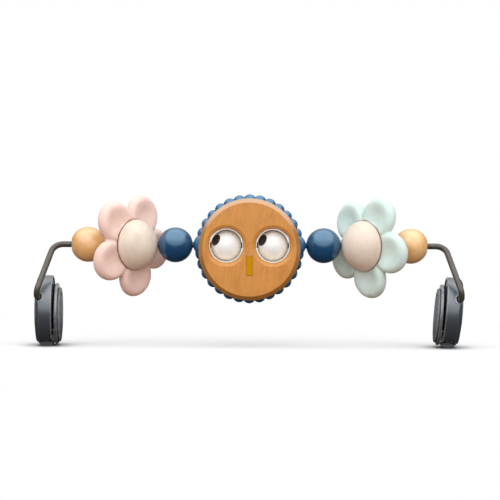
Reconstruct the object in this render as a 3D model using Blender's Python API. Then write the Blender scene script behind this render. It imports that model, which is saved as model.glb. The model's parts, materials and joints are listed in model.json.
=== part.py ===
"""A bouncer toy bar: a bent steel bar that carries turned beads, two flowers and a round face with
rolling eyes, and that ends in two clips for the sides of a bouncer.

Metres, +Z up. X runs along the bar, the front is -Y, and the clips stand on z = 0.
"""

import math

import bmesh
import bpy
from mathutils import Euler, Matrix, Quaternion, Vector

# Fits
GAP = 0.0003                # between two pieces that touch
RUNNING_GAP = 0.0005        # round the bar, where a piece turns on it
PLAY = 0.0006               # along the bar, between two neighbours
OVERRUN = 0.002             # how far a cutter passes the face that it cuts
MERGE = 0.00001

# The bar, its two legs and the hooks at their ends
BAR_DIAMETER = 0.006
BAR_HEIGHT = 0.1013
CORNER_ROOM = 0.017856      # of straight line from the last stop ring to where the leg's line starts
CORNER_RADIUS = 0.012
LEG_SPLAY = 0.0139          # how much further out the hook enters the clip than the bar's line ends
LEG_FORWARD = 0.0444        # how far the leg's line runs forward before it meets the hook's
HOOK_RADIUS = 0.0065
HOOK_TOE_IN = math.radians(9.5)
HOOK_END_ROOM = 0.0008      # of hook past the push nut
CORNER_STEPS = 6
HOOK_STEPS = 8
BAR_BEVEL_RESOLUTION = 4
PUSH_NUT_WALL = 0.002
PUSH_NUT_THICKNESS = 0.0012

# The beads
BEAD_DIAMETER = 0.035
BEAD_STEPS = 20
BEAD_ARC_STEPS = 8
STOP_RING_WALL = 0.0018
STOP_RING_THICKNESS = 0.002

# The flowers: a ball in two halves, with a ring of petals between them
FLOWER_BALL_DIAMETER = 0.052
FLOWER_TURN = math.radians(47)
SEAM_OFFSET = 0.0047        # from the ball's centre to the flat face of each half
HALF_BALL_ARC_STEPS = 5
FLOWER_DOWEL_RADIUS = 0.003
FLOWER_DOWEL_SPACING = 0.028
FLOWER_DOWEL_DEPTH = 0.0065
PETAL_COUNT = 5
PETAL_CENTRE_PROUD = 0.0062 # from the ball to the middle of a petal
PETAL_OVERLAP = 0.00127     # how far a petal's round runs past the line to its neighbour
PETAL_RIM_HALF_THICKNESS = 0.0054
PETAL_DISH_HALF_THICKNESS = 0.0024
PETAL_LEAN_BACK = 0.003
PETAL_STEPS = 8
PETAL_DISH_EDGE_SHARE = 0.40
PETAL_RIM_CREST_SHARE = 0.76
PETAL_STATION_SHARES = (0.30, 0.55, 0.76, 0.92)
PINK_FIRST_PETAL = math.radians(63.4)
MINT_FIRST_PETAL = math.radians(61)

# The face: two discs with a scalloped one between them
DISC_RADIUS = 0.0508
DISC_THICKNESS = 0.0117
DISC_CHAMFER_WIDTH = 0.0041
DISC_CHAMFER_DEPTH = 0.0034
DISC_EDGE_RADIUS = 0.0008
DISC_DROP = 0.0036          # from the bar down to the discs' centre
DISC_STEPS = 42
SCALLOPED_HALF_THICKNESS = 0.007
SCALLOP_VALLEY_PROUD = 0.0018   # out of the two discs
SCALLOP_HEIGHT = 0.002
SCALLOP_COUNT = 30
STEPS_PER_SCALLOP = 3
SCALLOP_SHOULDER = 0.0016
BOSS_RADIUS = 0.0115
BOSS_PROUD = 0.0017         # out of the scallops
EYE_BALL_DIAMETER = 0.0295
EYE_CLEARANCE = 0.00145     # between an eye and its liner
EYE_BRIDGE = 0.0118         # between the two eye holes
EYE_CHAMFER_WIDTH = 0.0037
EYE_CHAMFER_DEPTH = 0.0032
EYE_STEPS = 24
LINER_WALL = 0.0008
LINER_BAR_CLEARANCE = 0.001
PUPIL_RADIUS = 0.0058
PUPIL_DEPTH = 0.0018
PUPIL_ARC_STEPS = 2
PUPIL_DIRECTION_SHARES = (-0.71, -0.60, 0.37)
BEAK_WIDTH = 0.0059
BEAK_HEIGHT = 0.019
BEAK_DROP = 0.0199          # from the bar down to the beak's middle
BEAK_DEPTH = 0.0014
BEAK_PROUD = 0.0002
FACE_DOWEL_RADIUS = 0.003
FACE_DOWEL_INSET = 0.004    # from the discs' edge
FACE_DOWEL_DEPTH = 0.0058
FACE_DOWEL_ANGLES = (math.radians(90), math.radians(220), math.radians(320))

# The clips, in each clip's own axes: x inwards, y to the back, z up, from the middle of its shell
CLIP_RADIUS = 0.035
CLIP_SETBACK = 0.003        # how far the clip's middle lies behind the bar
CLIP_STEPS = 28
HOOK_OUTWARD = 0.0038       # from the clip's middle to its hook hole
HOOK_RISE = 0.0152
HOOK_HOLE_CLEARANCE = 0.001
HOOK_HOLE_DEPTH = 0.014
LEFT_CLIP_TILT = math.radians(0)
RIGHT_CLIP_TILT = math.radians(4.5)
SHELL_FACE_OUT = 0.0095     # from the clip's middle out to the crown of its face
SHELL_RIM_IN = 0.0094       # and in to its rim
SHELL_CROWN_RISE = 0.0022
SHELL_EDGE_WIDTH = 0.007    # of the rolled edge round the face
SHELL_EDGE_START = 0.0018   # where the rolled edge meets the straight band, outwards of the middle
SHELL_WALL = 0.002
SHELL_RIM_CHAMFER = 0.0008
SHELL_CROWN_STEPS = 2
SHELL_EDGE_STEPS = 3
NOTCH_OUTER_HEIGHT = 0.0038 # above the clip's lowest point
NOTCH_INNER_HEIGHT = 0.008
BASE_THICKNESS = 0.003
GRIP_PAD_THICKNESS = 0.0009
GRIP_PAD_INSET = 0.0068     # from the shell's wall
GRIP_PAD_CUT_ROOM = 0.002   # above the hinge window
SCREW_INSET = 0.012         # from the shell's wall to the circle of screws
SCREW_ANGLES = (math.radians(20), math.radians(195), math.radians(320))
SCREW_RADIUS = 0.0012
SCREW_HEAD_RADIUS = 0.0026
SCREW_HEAD_HEIGHT = 0.0015
SCREW_LENGTH = 0.008
SCREW_HOLE_GAP = 0.0004
SCREW_BOSS_RADIUS = 0.0033
SOCKET_START = 0.0175       # along the hook, from where it enters the clip
SOCKET_LENGTH = 0.0115
SOCKET_HEIGHT = 0.0125
SOCKET_CORNER = 0.0015
SOLE_RADIUS = 0.012
SOLE_INWARD = 0.003
FOOT_LENGTH = 0.030
FOOT_HEIGHT = 0.0036
FOOT_ARC_STEPS = 6
EAR_RADIUS = 0.0043
EAR_INNER_FACE = 0.0102
EAR_THICKNESS = 0.0032
PIN_RADIUS = 0.0015
PIN_INSET = 0.0048          # from the shell's rim
PIN_HEIGHT = 0.0068         # above the clip's lowest point
WINDOW_HEIGHT = 0.0077      # above the pin
SLOT_WIDTH = 0.0023
JAW_INSET = 0.006           # from the shell's outside
JAW_DROP = 0.002
JAW_THICKNESS = 0.003
JAW_EDGE = 0.0008
JAW_STEPS = 26
JAW_PAD_INSET = 0.0073      # from the jaw's edge
JAW_PAD_THICKNESS = 0.0009
LUG_EYE_RADIUS = 0.0028
LUG_INNER_FACE = 0.0047
LUG_THICKNESS = 0.005
LUG_TOP_RISE = 0.0044       # above the pin, where the lug's top joins the jaw
LUG_FOOT_DROP = 0.0007      # and below it, where the lug's underside does
COVER_INSET = 0.0047        # from the jaw's edge
COVER_DROP = 0.0035
COVER_RIM_HEIGHT = 0.0023
COVER_EDGE = 0.0009
COVER_RING_INSET = 0.0048   # from the cover's edge
COVER_RING_WIDTH = 0.0022
COVER_RING_DEPTH = 0.0009
COVER_CROWN = 0.0012
SPRING_WIRE_RADIUS = 0.00045
SPRING_COIL_RADIUS = 0.00245
SPRING_TURNS = 4.25
SPRING_POINTS_PER_TURN = 8
SPRING_LENGTH = 0.0074
SPRING_PLATE_LEG_GAP = 0.0008   # from the middle of its wire to the base plate
SPRING_PLATE_LEG_RISE = 0.0117  # above the pin
SPRING_BEND_RISE = 0.0047
SPRING_JAW_LEG_RISE = 0.0002
SPRING_HOLE_DEPTH = 0.0016

# Round holes and small round pieces
HOLE_STEPS = 12
SMALL_STEPS = 10
SMOOTH_ANGLE = math.radians(35)

FULL_TURN = math.tau
ALONG_BAR = math.radians(90)
BAR_RADIUS = BAR_DIAMETER / 2
BORE_RADIUS = BAR_RADIUS + RUNNING_GAP


def clear_scene():
    for item in list(bpy.data.objects):
        bpy.data.objects.remove(item, do_unlink=True)


def make_finish(name, colour, roughness, metallic=0.0):
    finish = bpy.data.materials.new(name)
    finish.use_nodes = True
    shader = finish.node_tree.nodes["Principled BSDF"]
    shader.inputs["Base Color"].default_value = (*colour, 1.0)
    shader.inputs["Roughness"].default_value = roughness
    shader.inputs["Metallic"].default_value = metallic
    return finish


def own_finish(name, finish):
    """A copy of a finish, so that each piece has its own."""
    copy = finish.copy()
    copy.name = name + "_finish"
    return copy


def add_piece(name, shape, finish, parent=None, place=(0, 0, 0), turn=(0, 0, 0)):
    """A mesh object made from a bmesh, shaded smooth up to its sharp edges."""
    mesh = bpy.data.meshes.new(name)
    bmesh.ops.recalc_face_normals(shape, faces=shape.faces)
    shape.to_mesh(mesh)
    shape.free()
    mesh.shade_smooth()
    mesh.set_sharp_from_angle(angle=SMOOTH_ANGLE)
    mesh.materials.append(own_finish(name, finish))
    piece = bpy.data.objects.new(name, mesh)
    bpy.context.scene.collection.objects.link(piece)
    piece.parent = parent
    piece.location = place
    piece.rotation_euler = turn
    return piece


def add_pivot(name, place, parent=None, turn=(0, 0, 0)):
    """An empty on a joint's axis."""
    pivot = bpy.data.objects.new(name, None)
    bpy.context.scene.collection.objects.link(pivot)
    pivot.parent = parent
    pivot.location = place
    pivot.rotation_euler = turn
    return pivot


def combine(piece, label, shape, operation="DIFFERENCE"):
    """Cuts a shape from a piece, or adds it, in the piece's own axes."""
    mesh = bpy.data.meshes.new(label)
    bmesh.ops.recalc_face_normals(shape, faces=shape.faces)
    shape.to_mesh(mesh)
    shape.free()
    cutter = bpy.data.objects.new(label, mesh)
    bpy.context.scene.collection.objects.link(cutter)
    cutter.parent = piece.parent
    cutter.location = piece.location
    cutter.rotation_euler = piece.rotation_euler
    cutter.hide_render = True
    cutter.display_type = "WIRE"
    step = piece.modifiers.new(label, "BOOLEAN")
    step.object = cutter
    step.operation = operation
    step.solver = "EXACT"


def turned(outline, steps):
    """An outline of (radius, along) points spun round Z. It is open where it starts on the axis."""
    shape = bmesh.new()
    points = [shape.verts.new((radius, 0, along)) for radius, along in outline]
    pairs = list(zip(points, points[1:]))
    if outline[0][0] > 0:
        pairs.append((points[-1], points[0]))
    edges = [shape.edges.new(pair) for pair in pairs]
    bmesh.ops.spin(
        shape, geom=points + edges, cent=(0, 0, 0), axis=(0, 0, 1), angle=FULL_TURN, steps=steps,
        use_merge=True,
    )
    bmesh.ops.remove_doubles(shape, verts=shape.verts, dist=MERGE)
    return shape


def rod(radius, start, end, steps=HOLE_STEPS, shape=None):
    """A cylinder from one point to another, added to a shape if one is given."""
    shape = shape or bmesh.new()
    start, end = Vector(start), Vector(end)
    turn = (end - start).to_track_quat("Z", "Y").to_matrix().to_4x4()
    bmesh.ops.create_cone(
        shape, cap_ends=True, segments=steps, radius1=radius, radius2=radius,
        depth=(end - start).length, matrix=Matrix.Translation((start + end) / 2) @ turn,
    )
    return shape


def block(low, high, shape=None):
    """A box between two corners, added to a shape if one is given."""
    shape = shape or bmesh.new()
    low, high = Vector(low), Vector(high)
    size = Matrix.Diagonal((*(high - low), 1))
    bmesh.ops.create_cube(shape, size=1, matrix=Matrix.Translation((low + high) / 2) @ size)
    return shape


def plate(outline, low, high, shape=None):
    """An outline of (x, z) points, pulled along Y from low to high."""
    shape = shape or bmesh.new()
    face = shape.faces.new([shape.verts.new((x, low, z)) for x, z in outline])
    pulled = bmesh.ops.extrude_face_region(shape, geom=[face])
    moved = [item for item in pulled["geom"] if isinstance(item, bmesh.types.BMVert)]
    bmesh.ops.translate(shape, verts=moved, vec=(0, high - low, 0))
    return shape


def arc(centre, radius, first, last, steps):
    """Points of an arc, in (across, along) pairs, between two angles."""
    angles = [first + (last - first) * step / steps for step in range(steps + 1)]
    return [(centre[0] + radius * math.cos(a), centre[1] + radius * math.sin(a)) for a in angles]


def rounded_path(corners, radii, steps):
    """The points of a path whose inner corners are rounded off to the given radii."""
    points = [corners[0]]
    for index, radius in enumerate(radii, start=1):
        before, corner, after = corners[index - 1 : index + 2]
        inward, outward = (corner - before).normalized(), (after - corner).normalized()
        bend = inward.angle(outward)
        tangent = radius * math.tan(bend / 2)
        axis = inward.cross(outward).normalized()
        start = corner - inward * tangent
        centre = start + axis.cross(inward) * radius
        for step in range(steps[index - 1] + 1):
            turn = Quaternion(axis, bend * step / steps[index - 1])
            points.append(centre + turn @ (start - centre))
    points.append(corners[-1])
    return points


def add_tube(name, points, radius, resolution, finish, parent=None, place=(0, 0, 0)):
    """A round wire along a list of points, with closed ends."""
    curve = bpy.data.curves.new(name, "CURVE")
    curve.dimensions = "3D"
    curve.bevel_depth = radius
    curve.bevel_resolution = resolution
    curve.use_fill_caps = True
    line = curve.splines.new("POLY")
    line.points.add(len(points) - 1)
    for point, position in zip(line.points, points):
        point.co = (*position, 1)
    curve.materials.append(own_finish(name, finish))
    tube = bpy.data.objects.new(name, curve)
    bpy.context.scene.collection.objects.link(tube)
    tube.parent = parent
    tube.location = place
    return tube


clear_scene()

FACE_WOOD = make_finish("face_wood", (0.58, 0.24, 0.07), 0.5)
NATURAL_WOOD = make_finish("natural_wood", (0.78, 0.50, 0.24), 0.5)
PALE_WOOD = make_finish("pale_wood", (0.82, 0.72, 0.60), 0.6)
DOWEL_WOOD = make_finish("dowel_wood", (0.70, 0.50, 0.30), 0.7)
BLUE = make_finish("blue_lacquer", (0.015, 0.085, 0.19), 0.4)
PINK = make_finish("pink_petal", (0.80, 0.55, 0.48), 0.6)
MINT = make_finish("mint_petal", (0.60, 0.70, 0.64), 0.6)
WHITE = make_finish("white_plastic", (0.86, 0.86, 0.84), 0.35)
BLACK = make_finish("black_plastic", (0.01, 0.01, 0.01), 0.3)
MUSTARD = make_finish("mustard_paint", (0.58, 0.28, 0.0), 0.6)
COATED_STEEL = make_finish("coated_steel", (0.17, 0.15, 0.12), 0.45, 0.3)
BRIGHT_STEEL = make_finish("bright_steel", (0.60, 0.60, 0.60), 0.3, 1.0)
SLATE = make_finish("slate_plastic", (0.10, 0.115, 0.135), 0.45)
RUBBER = make_finish("dark_rubber", (0.03, 0.033, 0.04), 0.8)


def mirrored(point, side):
    """A point of the left-hand side, or its mirror image on the right."""
    return Vector((point[0] * -side, point[1], point[2]))


# The beads. Each is threaded on the bar, next to its inner neighbour.
def bead_outline(radius, near_mouth, far_mouth, arc_steps):
    """A bored ball's outer arc, between the mouths at its two ends, and its bore."""
    first = math.acos(far_mouth / radius)
    last = -math.acos(near_mouth / radius)
    return arc((0, 0), radius, first, last, arc_steps)


def bead_half_length(radius, mouth):
    return math.sqrt(radius**2 - mouth**2)


BEAD_RADIUS = BEAD_DIAMETER / 2
BALL_RADIUS = FLOWER_BALL_DIAMETER / 2
BEAD_HALF_LENGTH = bead_half_length(BEAD_RADIUS, BORE_RADIUS)
FLOWER_HALF_LENGTH = bead_half_length(BALL_RADIUS, BORE_RADIUS)
SCALLOP_VALLEY_RADIUS = DISC_RADIUS + SCALLOP_VALLEY_PROUD
BOSS_REACH = SCALLOP_VALLEY_RADIUS + SCALLOP_HEIGHT + BOSS_PROUD
STOP_RING_RADIUS = BAR_RADIUS + STOP_RING_WALL
COUNTERBORE_RADIUS = STOP_RING_RADIUS + RUNNING_GAP
COUNTERBORE_DEPTH = STOP_RING_THICKNESS + GAP + PLAY
BLUE_BEAD_REACH = BOSS_REACH + PLAY + BEAD_HALF_LENGTH
FLOWER_REACH = BLUE_BEAD_REACH + BEAD_HALF_LENGTH + PLAY + FLOWER_HALF_LENGTH
END_BEAD_REACH = FLOWER_REACH + FLOWER_HALF_LENGTH + PLAY + BEAD_HALF_LENGTH
COUNTERBORE_FLOOR = bead_half_length(BEAD_RADIUS, COUNTERBORE_RADIUS) - COUNTERBORE_DEPTH
STOP_RING_REACH = END_BEAD_REACH + COUNTERBORE_FLOOR + PLAY


def build_blue_bead(name, side):
    shape = turned(bead_outline(BEAD_RADIUS, BORE_RADIUS, BORE_RADIUS, BEAD_ARC_STEPS), BEAD_STEPS)
    place = (side * BLUE_BEAD_REACH, 0, BAR_HEIGHT)
    add_piece(name + "_blue_bead", shape, BLUE, place=place, turn=(0, ALONG_BAR * side, 0))


def build_end_bead(name, side):
    """A natural bead, counterbored at its outer end for the stop ring."""
    outline = bead_outline(BEAD_RADIUS, BORE_RADIUS, COUNTERBORE_RADIUS, BEAD_ARC_STEPS)
    outline = outline + [(BORE_RADIUS, COUNTERBORE_FLOOR), (COUNTERBORE_RADIUS, COUNTERBORE_FLOOR)]
    place = (side * END_BEAD_REACH, 0, BAR_HEIGHT)
    turn = (0, ALONG_BAR * side, 0)
    add_piece(name + "_end_bead", turned(outline, BEAD_STEPS), NATURAL_WOOD, place=place, turn=turn)
    low = COUNTERBORE_FLOOR + PLAY
    high = low + STOP_RING_THICKNESS
    inner = BAR_RADIUS + GAP
    ring = [(inner, low), (STOP_RING_RADIUS, low), (STOP_RING_RADIUS, high), (inner, high)]
    add_piece(name + "_stop_ring", turned(ring, HOLE_STEPS), BRIGHT_STEEL, place=place, turn=turn)


# The bar. Its places are worked out from the foot upwards, for the left side.
CORNER_REACH = STOP_RING_REACH + STOP_RING_THICKNESS + CORNER_ROOM
HOOK_SETBACK = CLIP_SETBACK - math.sqrt(CLIP_RADIUS**2 - HOOK_RISE**2)
HOOK_HEIGHT = CLIP_RADIUS + HOOK_RISE
HOOK_ENTRY = Vector((-CORNER_REACH - LEG_SPLAY, HOOK_SETBACK, HOOK_HEIGHT))
HOOK_LINE = Vector((math.sin(HOOK_TOE_IN), math.cos(HOOK_TOE_IN), 0))
PUSH_NUT_START = SOCKET_START + SOCKET_LENGTH + GAP
HOOK_DEPTH = PUSH_NUT_START + PUSH_NUT_THICKNESS + HOOK_END_ROOM


def build_bar():
    corner = Vector((-CORNER_REACH, 0, BAR_HEIGHT))
    lower_corner = HOOK_ENTRY - HOOK_LINE * ((LEG_FORWARD + HOOK_SETBACK) / math.cos(HOOK_TOE_IN))
    half = [HOOK_ENTRY + HOOK_LINE * HOOK_DEPTH, lower_corner, corner]
    corners = half + [mirrored(point, 1) for point in reversed(half)]
    radii = (HOOK_RADIUS, CORNER_RADIUS, CORNER_RADIUS, HOOK_RADIUS)
    steps = (HOOK_STEPS, CORNER_STEPS, CORNER_STEPS, HOOK_STEPS)
    path = rounded_path(corners, radii, steps)
    add_tube("bar", path, BAR_RADIUS, BAR_BEVEL_RESOLUTION, COATED_STEEL)


# The flowers. A flower's own axes are x and y in the petals' plane and z to its front.
HUB_HALF_THICKNESS = SEAM_OFFSET - GAP
SEAM_RADIUS = math.sqrt(BALL_RADIUS**2 - SEAM_OFFSET**2)
PETAL_CENTRE_REACH = BALL_RADIUS + PETAL_CENTRE_PROUD
PETAL_RADIUS = PETAL_CENTRE_REACH * math.sin(math.pi / PETAL_COUNT) + PETAL_OVERLAP
PETAL_LEAN_START = BALL_RADIUS + GAP


def petal_edge(angle):
    """How far the petals reach at an angle from the nearest petal's middle."""
    half_chord = math.sqrt(PETAL_RADIUS**2 - (PETAL_CENTRE_REACH * math.sin(angle)) ** 2)
    return PETAL_CENTRE_REACH * math.cos(angle) + half_chord


def petal_half_thickness(radius, angle):
    """Thin in the dish, thick at the crest of the rim, and rounded off to the edge."""
    across = radius * math.sin(angle)
    along = radius * math.cos(angle) - PETAL_CENTRE_REACH
    share = min(1, math.hypot(across, along) / PETAL_RADIUS)
    rise = PETAL_RIM_HALF_THICKNESS - PETAL_DISH_HALF_THICKNESS
    if share < PETAL_RIM_CREST_SHARE:
        climb = (share - PETAL_DISH_EDGE_SHARE) / (PETAL_RIM_CREST_SHARE - PETAL_DISH_EDGE_SHARE)
        climb = max(0, climb)
        return PETAL_DISH_HALF_THICKNESS + rise * climb * climb * (3 - 2 * climb)
    fall = (share - PETAL_RIM_CREST_SHARE) / (1 - PETAL_RIM_CREST_SHARE)
    return PETAL_RIM_HALF_THICKNESS * math.sqrt(max(0, 1 - fall * fall))


def petal_lean(radius):
    """How far back the petals' middle plane has leant at a radius."""
    share = (radius - PETAL_LEAN_START) / (PETAL_CENTRE_REACH + PETAL_RADIUS - PETAL_LEAN_START)
    return PETAL_LEAN_BACK * share * share


def build_petal_ring(name, finish, pivot, first_petal):
    """Rings of points from the hub out to the petals' edge, on both faces."""
    shape = bmesh.new()
    hub_radius = SEAM_RADIUS - GAP
    columns = []
    for step in range(PETAL_COUNT * PETAL_STEPS):
        from_petal = FULL_TURN * step / (PETAL_COUNT * PETAL_STEPS)
        spread = FULL_TURN / PETAL_COUNT
        nearest = (from_petal + spread / 2) % spread - spread / 2
        edge = petal_edge(nearest)
        bearing = first_petal + from_petal
        direction = Vector((math.cos(bearing), math.sin(bearing), 0))
        width = edge - PETAL_LEAN_START
        stations = [PETAL_LEAN_START]
        stations += [PETAL_LEAN_START + width * share for share in PETAL_STATION_SHARES]
        front, back = [], []
        for radius in stations:
            half = petal_half_thickness(radius, nearest)
            front.append(direction * radius + Vector((0, 0, half - petal_lean(radius))))
            back.append(direction * radius + Vector((0, 0, -half - petal_lean(radius))))
        rim = direction * edge + Vector((0, 0, -petal_lean(edge)))
        hub_front = direction * hub_radius + Vector((0, 0, HUB_HALF_THICKNESS))
        hub_back = direction * hub_radius + Vector((0, 0, -HUB_HALF_THICKNESS))
        column = [hub_front] + front + [rim] + list(reversed(back)) + [hub_back]
        columns.append([shape.verts.new(point) for point in column])
    for left, right in zip(columns, columns[1:] + columns[:1]):
        for corner in range(len(left) - 1):
            shape.faces.new((left[corner], left[corner + 1], right[corner + 1], right[corner]))
    shape.faces.new([column[0] for column in columns])
    shape.faces.new([column[-1] for column in reversed(columns)])
    return add_piece(name + "_petal_ring", shape, finish, parent=pivot)


def half_ball_outline(front):
    low = math.asin(SEAM_OFFSET / BALL_RADIUS)
    outline = [(0, SEAM_OFFSET)] + arc((0, 0), BALL_RADIUS, low, math.pi / 2, HALF_BALL_ARC_STEPS)
    return [(max(0, radius), along * front) for radius, along in outline]


def flower_dowel_shape(radius, end_gap):
    shape = None
    reach = SEAM_OFFSET + FLOWER_DOWEL_DEPTH + end_gap
    for height in (-FLOWER_DOWEL_SPACING / 2, FLOWER_DOWEL_SPACING / 2):
        shape = rod(radius, (0, height, -reach), (0, height, reach), shape=shape)
    return shape


def build_flower(name, side, petal_finish, first_petal):
    place = (side * FLOWER_REACH, 0, BAR_HEIGHT)
    pivot = add_pivot(name + "_flower_pivot", place, turn=(ALONG_BAR, 0, -side * FLOWER_TURN))
    bar_line = Vector((math.cos(FLOWER_TURN), 0, -side * math.sin(FLOWER_TURN)))
    bore_reach = bar_line * (BALL_RADIUS + OVERRUN)
    pieces = [build_petal_ring(name, petal_finish, pivot, first_petal)]
    for label, front in (("front", 1), ("back", -1)):
        half = turned(half_ball_outline(front), BEAD_STEPS)
        pieces.append(add_piece(f"{name}_flower_{label}_half", half, PALE_WOOD, pivot))
    for piece in pieces:
        label = piece.name
        combine(piece, label + "_bore", rod(BORE_RADIUS, -bore_reach, bore_reach))
        combine(piece, label + "_dowel_holes", flower_dowel_shape(FLOWER_DOWEL_RADIUS + GAP, GAP))
    reach = SEAM_OFFSET + FLOWER_DOWEL_DEPTH
    for label, height in (("lower", -FLOWER_DOWEL_SPACING / 2), ("upper", FLOWER_DOWEL_SPACING / 2)):
        shape = rod(FLOWER_DOWEL_RADIUS, (0, height, -reach), (0, height, reach), SMALL_STEPS)
        add_piece(f"{name}_flower_{label}_dowel", shape, DOWEL_WOOD, pivot)


# The face. Its own axes are x to the right, y up and z to the front, from the bar.
DISC_BACK = SCALLOPED_HALF_THICKNESS + GAP
DISC_FRONT = DISC_BACK + DISC_THICKNESS
EYE_HOLE_RADIUS = EYE_BALL_DIAMETER / 2 + EYE_CLEARANCE + LINER_WALL + GAP
EYE_REACH = EYE_HOLE_RADIUS + EYE_BRIDGE / 2
DISC_CENTRE = (0, -DISC_DROP, 0)


def eye_hole_shape(side):
    chamfer_foot = DISC_FRONT - EYE_CHAMFER_DEPTH
    slope = EYE_CHAMFER_WIDTH / EYE_CHAMFER_DEPTH
    outline = [
        (0, DISC_BACK - OVERRUN),
        (EYE_HOLE_RADIUS, DISC_BACK - OVERRUN),
        (EYE_HOLE_RADIUS, chamfer_foot),
        (EYE_HOLE_RADIUS + slope * (EYE_CHAMFER_DEPTH + OVERRUN), DISC_FRONT + OVERRUN),
        (0, DISC_FRONT + OVERRUN),
    ]
    shape = turned(outline, EYE_STEPS)
    bmesh.ops.translate(shape, verts=shape.verts, vec=(side * EYE_REACH, DISC_DROP, 0))
    return shape


def face_dowel_shape(radius, end_gap, steps, angles):
    shape = None
    reach = DISC_BACK + FACE_DOWEL_DEPTH + end_gap
    circle_radius = DISC_RADIUS - FACE_DOWEL_INSET
    for angle in angles:
        across, up = circle_radius * math.cos(angle), circle_radius * math.sin(angle)
        shape = rod(radius, (across, up, -reach), (across, up, reach), steps, shape)
    return shape


def build_face_disc(name, pivot, turn):
    outline = [
        (0, DISC_BACK),
        (DISC_RADIUS - DISC_EDGE_RADIUS, DISC_BACK),
        (DISC_RADIUS, DISC_BACK + DISC_EDGE_RADIUS),
        (DISC_RADIUS, DISC_FRONT - DISC_CHAMFER_DEPTH),
        (DISC_RADIUS - DISC_CHAMFER_WIDTH, DISC_FRONT),
        (0, DISC_FRONT),
    ]
    disc = add_piece(name, turned(outline, DISC_STEPS), FACE_WOOD, pivot, DISC_CENTRE, turn)
    for side in (-1, 1):
        combine(disc, f"{name}_eye_hole_{side + 2}", eye_hole_shape(side))
    holes = face_dowel_shape(FACE_DOWEL_RADIUS + GAP, GAP, HOLE_STEPS, FACE_DOWEL_ANGLES)
    if turn[1]:
        bmesh.ops.rotate(holes, verts=holes.verts, matrix=Matrix.Rotation(turn[1], 3, "Y"))
    combine(disc, name + "_dowel_holes", holes)
    return disc


def scallop_growth(angle):
    """How far the scallops and the two bosses stand out of the valleys, at an angle on the disc."""
    pitch = FULL_TURN / SCALLOP_COUNT
    from_peak = (angle - math.pi / 2 + pitch / 2) % pitch - pitch / 2
    half_chord = SCALLOP_VALLEY_RADIUS * math.sin(pitch / 2)
    scallop_radius = (half_chord**2 + SCALLOP_HEIGHT**2) / (2 * SCALLOP_HEIGHT)
    across = SCALLOP_VALLEY_RADIUS * math.sin(from_peak)
    scallop = SCALLOP_HEIGHT - scallop_radius + math.sqrt(scallop_radius**2 - across**2)
    ray = Vector((abs(math.cos(angle)), math.sin(angle)))
    centre = Vector((BOSS_REACH - BOSS_RADIUS, DISC_DROP))
    along = ray.dot(centre)
    miss = centre.length_squared - along**2
    boss = 0
    if along > 0 and miss < BOSS_RADIUS**2:
        boss = along + math.sqrt(BOSS_RADIUS**2 - miss) - SCALLOP_VALLEY_RADIUS
    return scallop, max(0, boss)


def build_scalloped_disc(pivot):
    half = SCALLOPED_HALF_THICKNESS
    shoulder = (SCALLOP_VALLEY_RADIUS - SCALLOP_SHOULDER, half, 0)
    crest = (SCALLOP_VALLEY_RADIUS, half - SCALLOP_SHOULDER, 1)
    outline = [(radius, -along, share) for radius, along, share in (shoulder, crest)] + [crest, shoulder]
    shape = bmesh.new()
    columns = []
    count = SCALLOP_COUNT * STEPS_PER_SCALLOP
    for step in range(count):
        angle = FULL_TURN * step / count
        scallop, boss = scallop_growth(angle)
        column = []
        for radius, along, scallop_share in outline:
            reach = radius + max(scallop * scallop_share, boss)
            point = (reach * math.cos(angle), reach * math.sin(angle), along)
            column.append(shape.verts.new(point))
        columns.append(column)
    for left, right in zip(columns, columns[1:] + columns[:1]):
        for corner in range(len(outline) - 1):
            shape.faces.new((left[corner], left[corner + 1], right[corner + 1], right[corner]))
    shape.faces.new([column[0] for column in columns])
    shape.faces.new([column[-1] for column in reversed(columns)])
    disc = add_piece("face_scalloped_disc", shape, BLUE, pivot, DISC_CENTRE)
    for side in (-1, 1):
        across = side * EYE_REACH
        reach = half + OVERRUN
        hole = rod(EYE_HOLE_RADIUS, (across, DISC_DROP, -reach), (across, DISC_DROP, reach), EYE_STEPS)
        combine(disc, f"scalloped_disc_eye_hole_{side + 2}", hole)
    bore_end = BOSS_REACH + OVERRUN
    bore = rod(BORE_RADIUS, (-bore_end, DISC_DROP, 0), (bore_end, DISC_DROP, 0))
    combine(disc, "scalloped_disc_bore", bore)
    holes = face_dowel_shape(FACE_DOWEL_RADIUS + GAP, GAP, HOLE_STEPS, FACE_DOWEL_ANGLES)
    combine(disc, "scalloped_disc_dowel_holes", holes)


def build_eye_liner(name, pivot, side):
    outer = EYE_HOLE_RADIUS - GAP
    inner = outer - LINER_WALL
    half = DISC_FRONT - EYE_CHAMFER_DEPTH
    outline = [(inner, -half), (outer, -half), (outer, half), (inner, half)]
    place = (side * EYE_REACH, 0, 0)
    liner = add_piece(name + "_eye_liner", turned(outline, EYE_STEPS), WHITE, pivot, place)
    reach = outer + OVERRUN
    holes = rod(BAR_RADIUS + LINER_BAR_CLEARANCE, (-reach, 0, 0), (reach, 0, 0))
    combine(liner, name + "_liner_bar_holes", holes)


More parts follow.
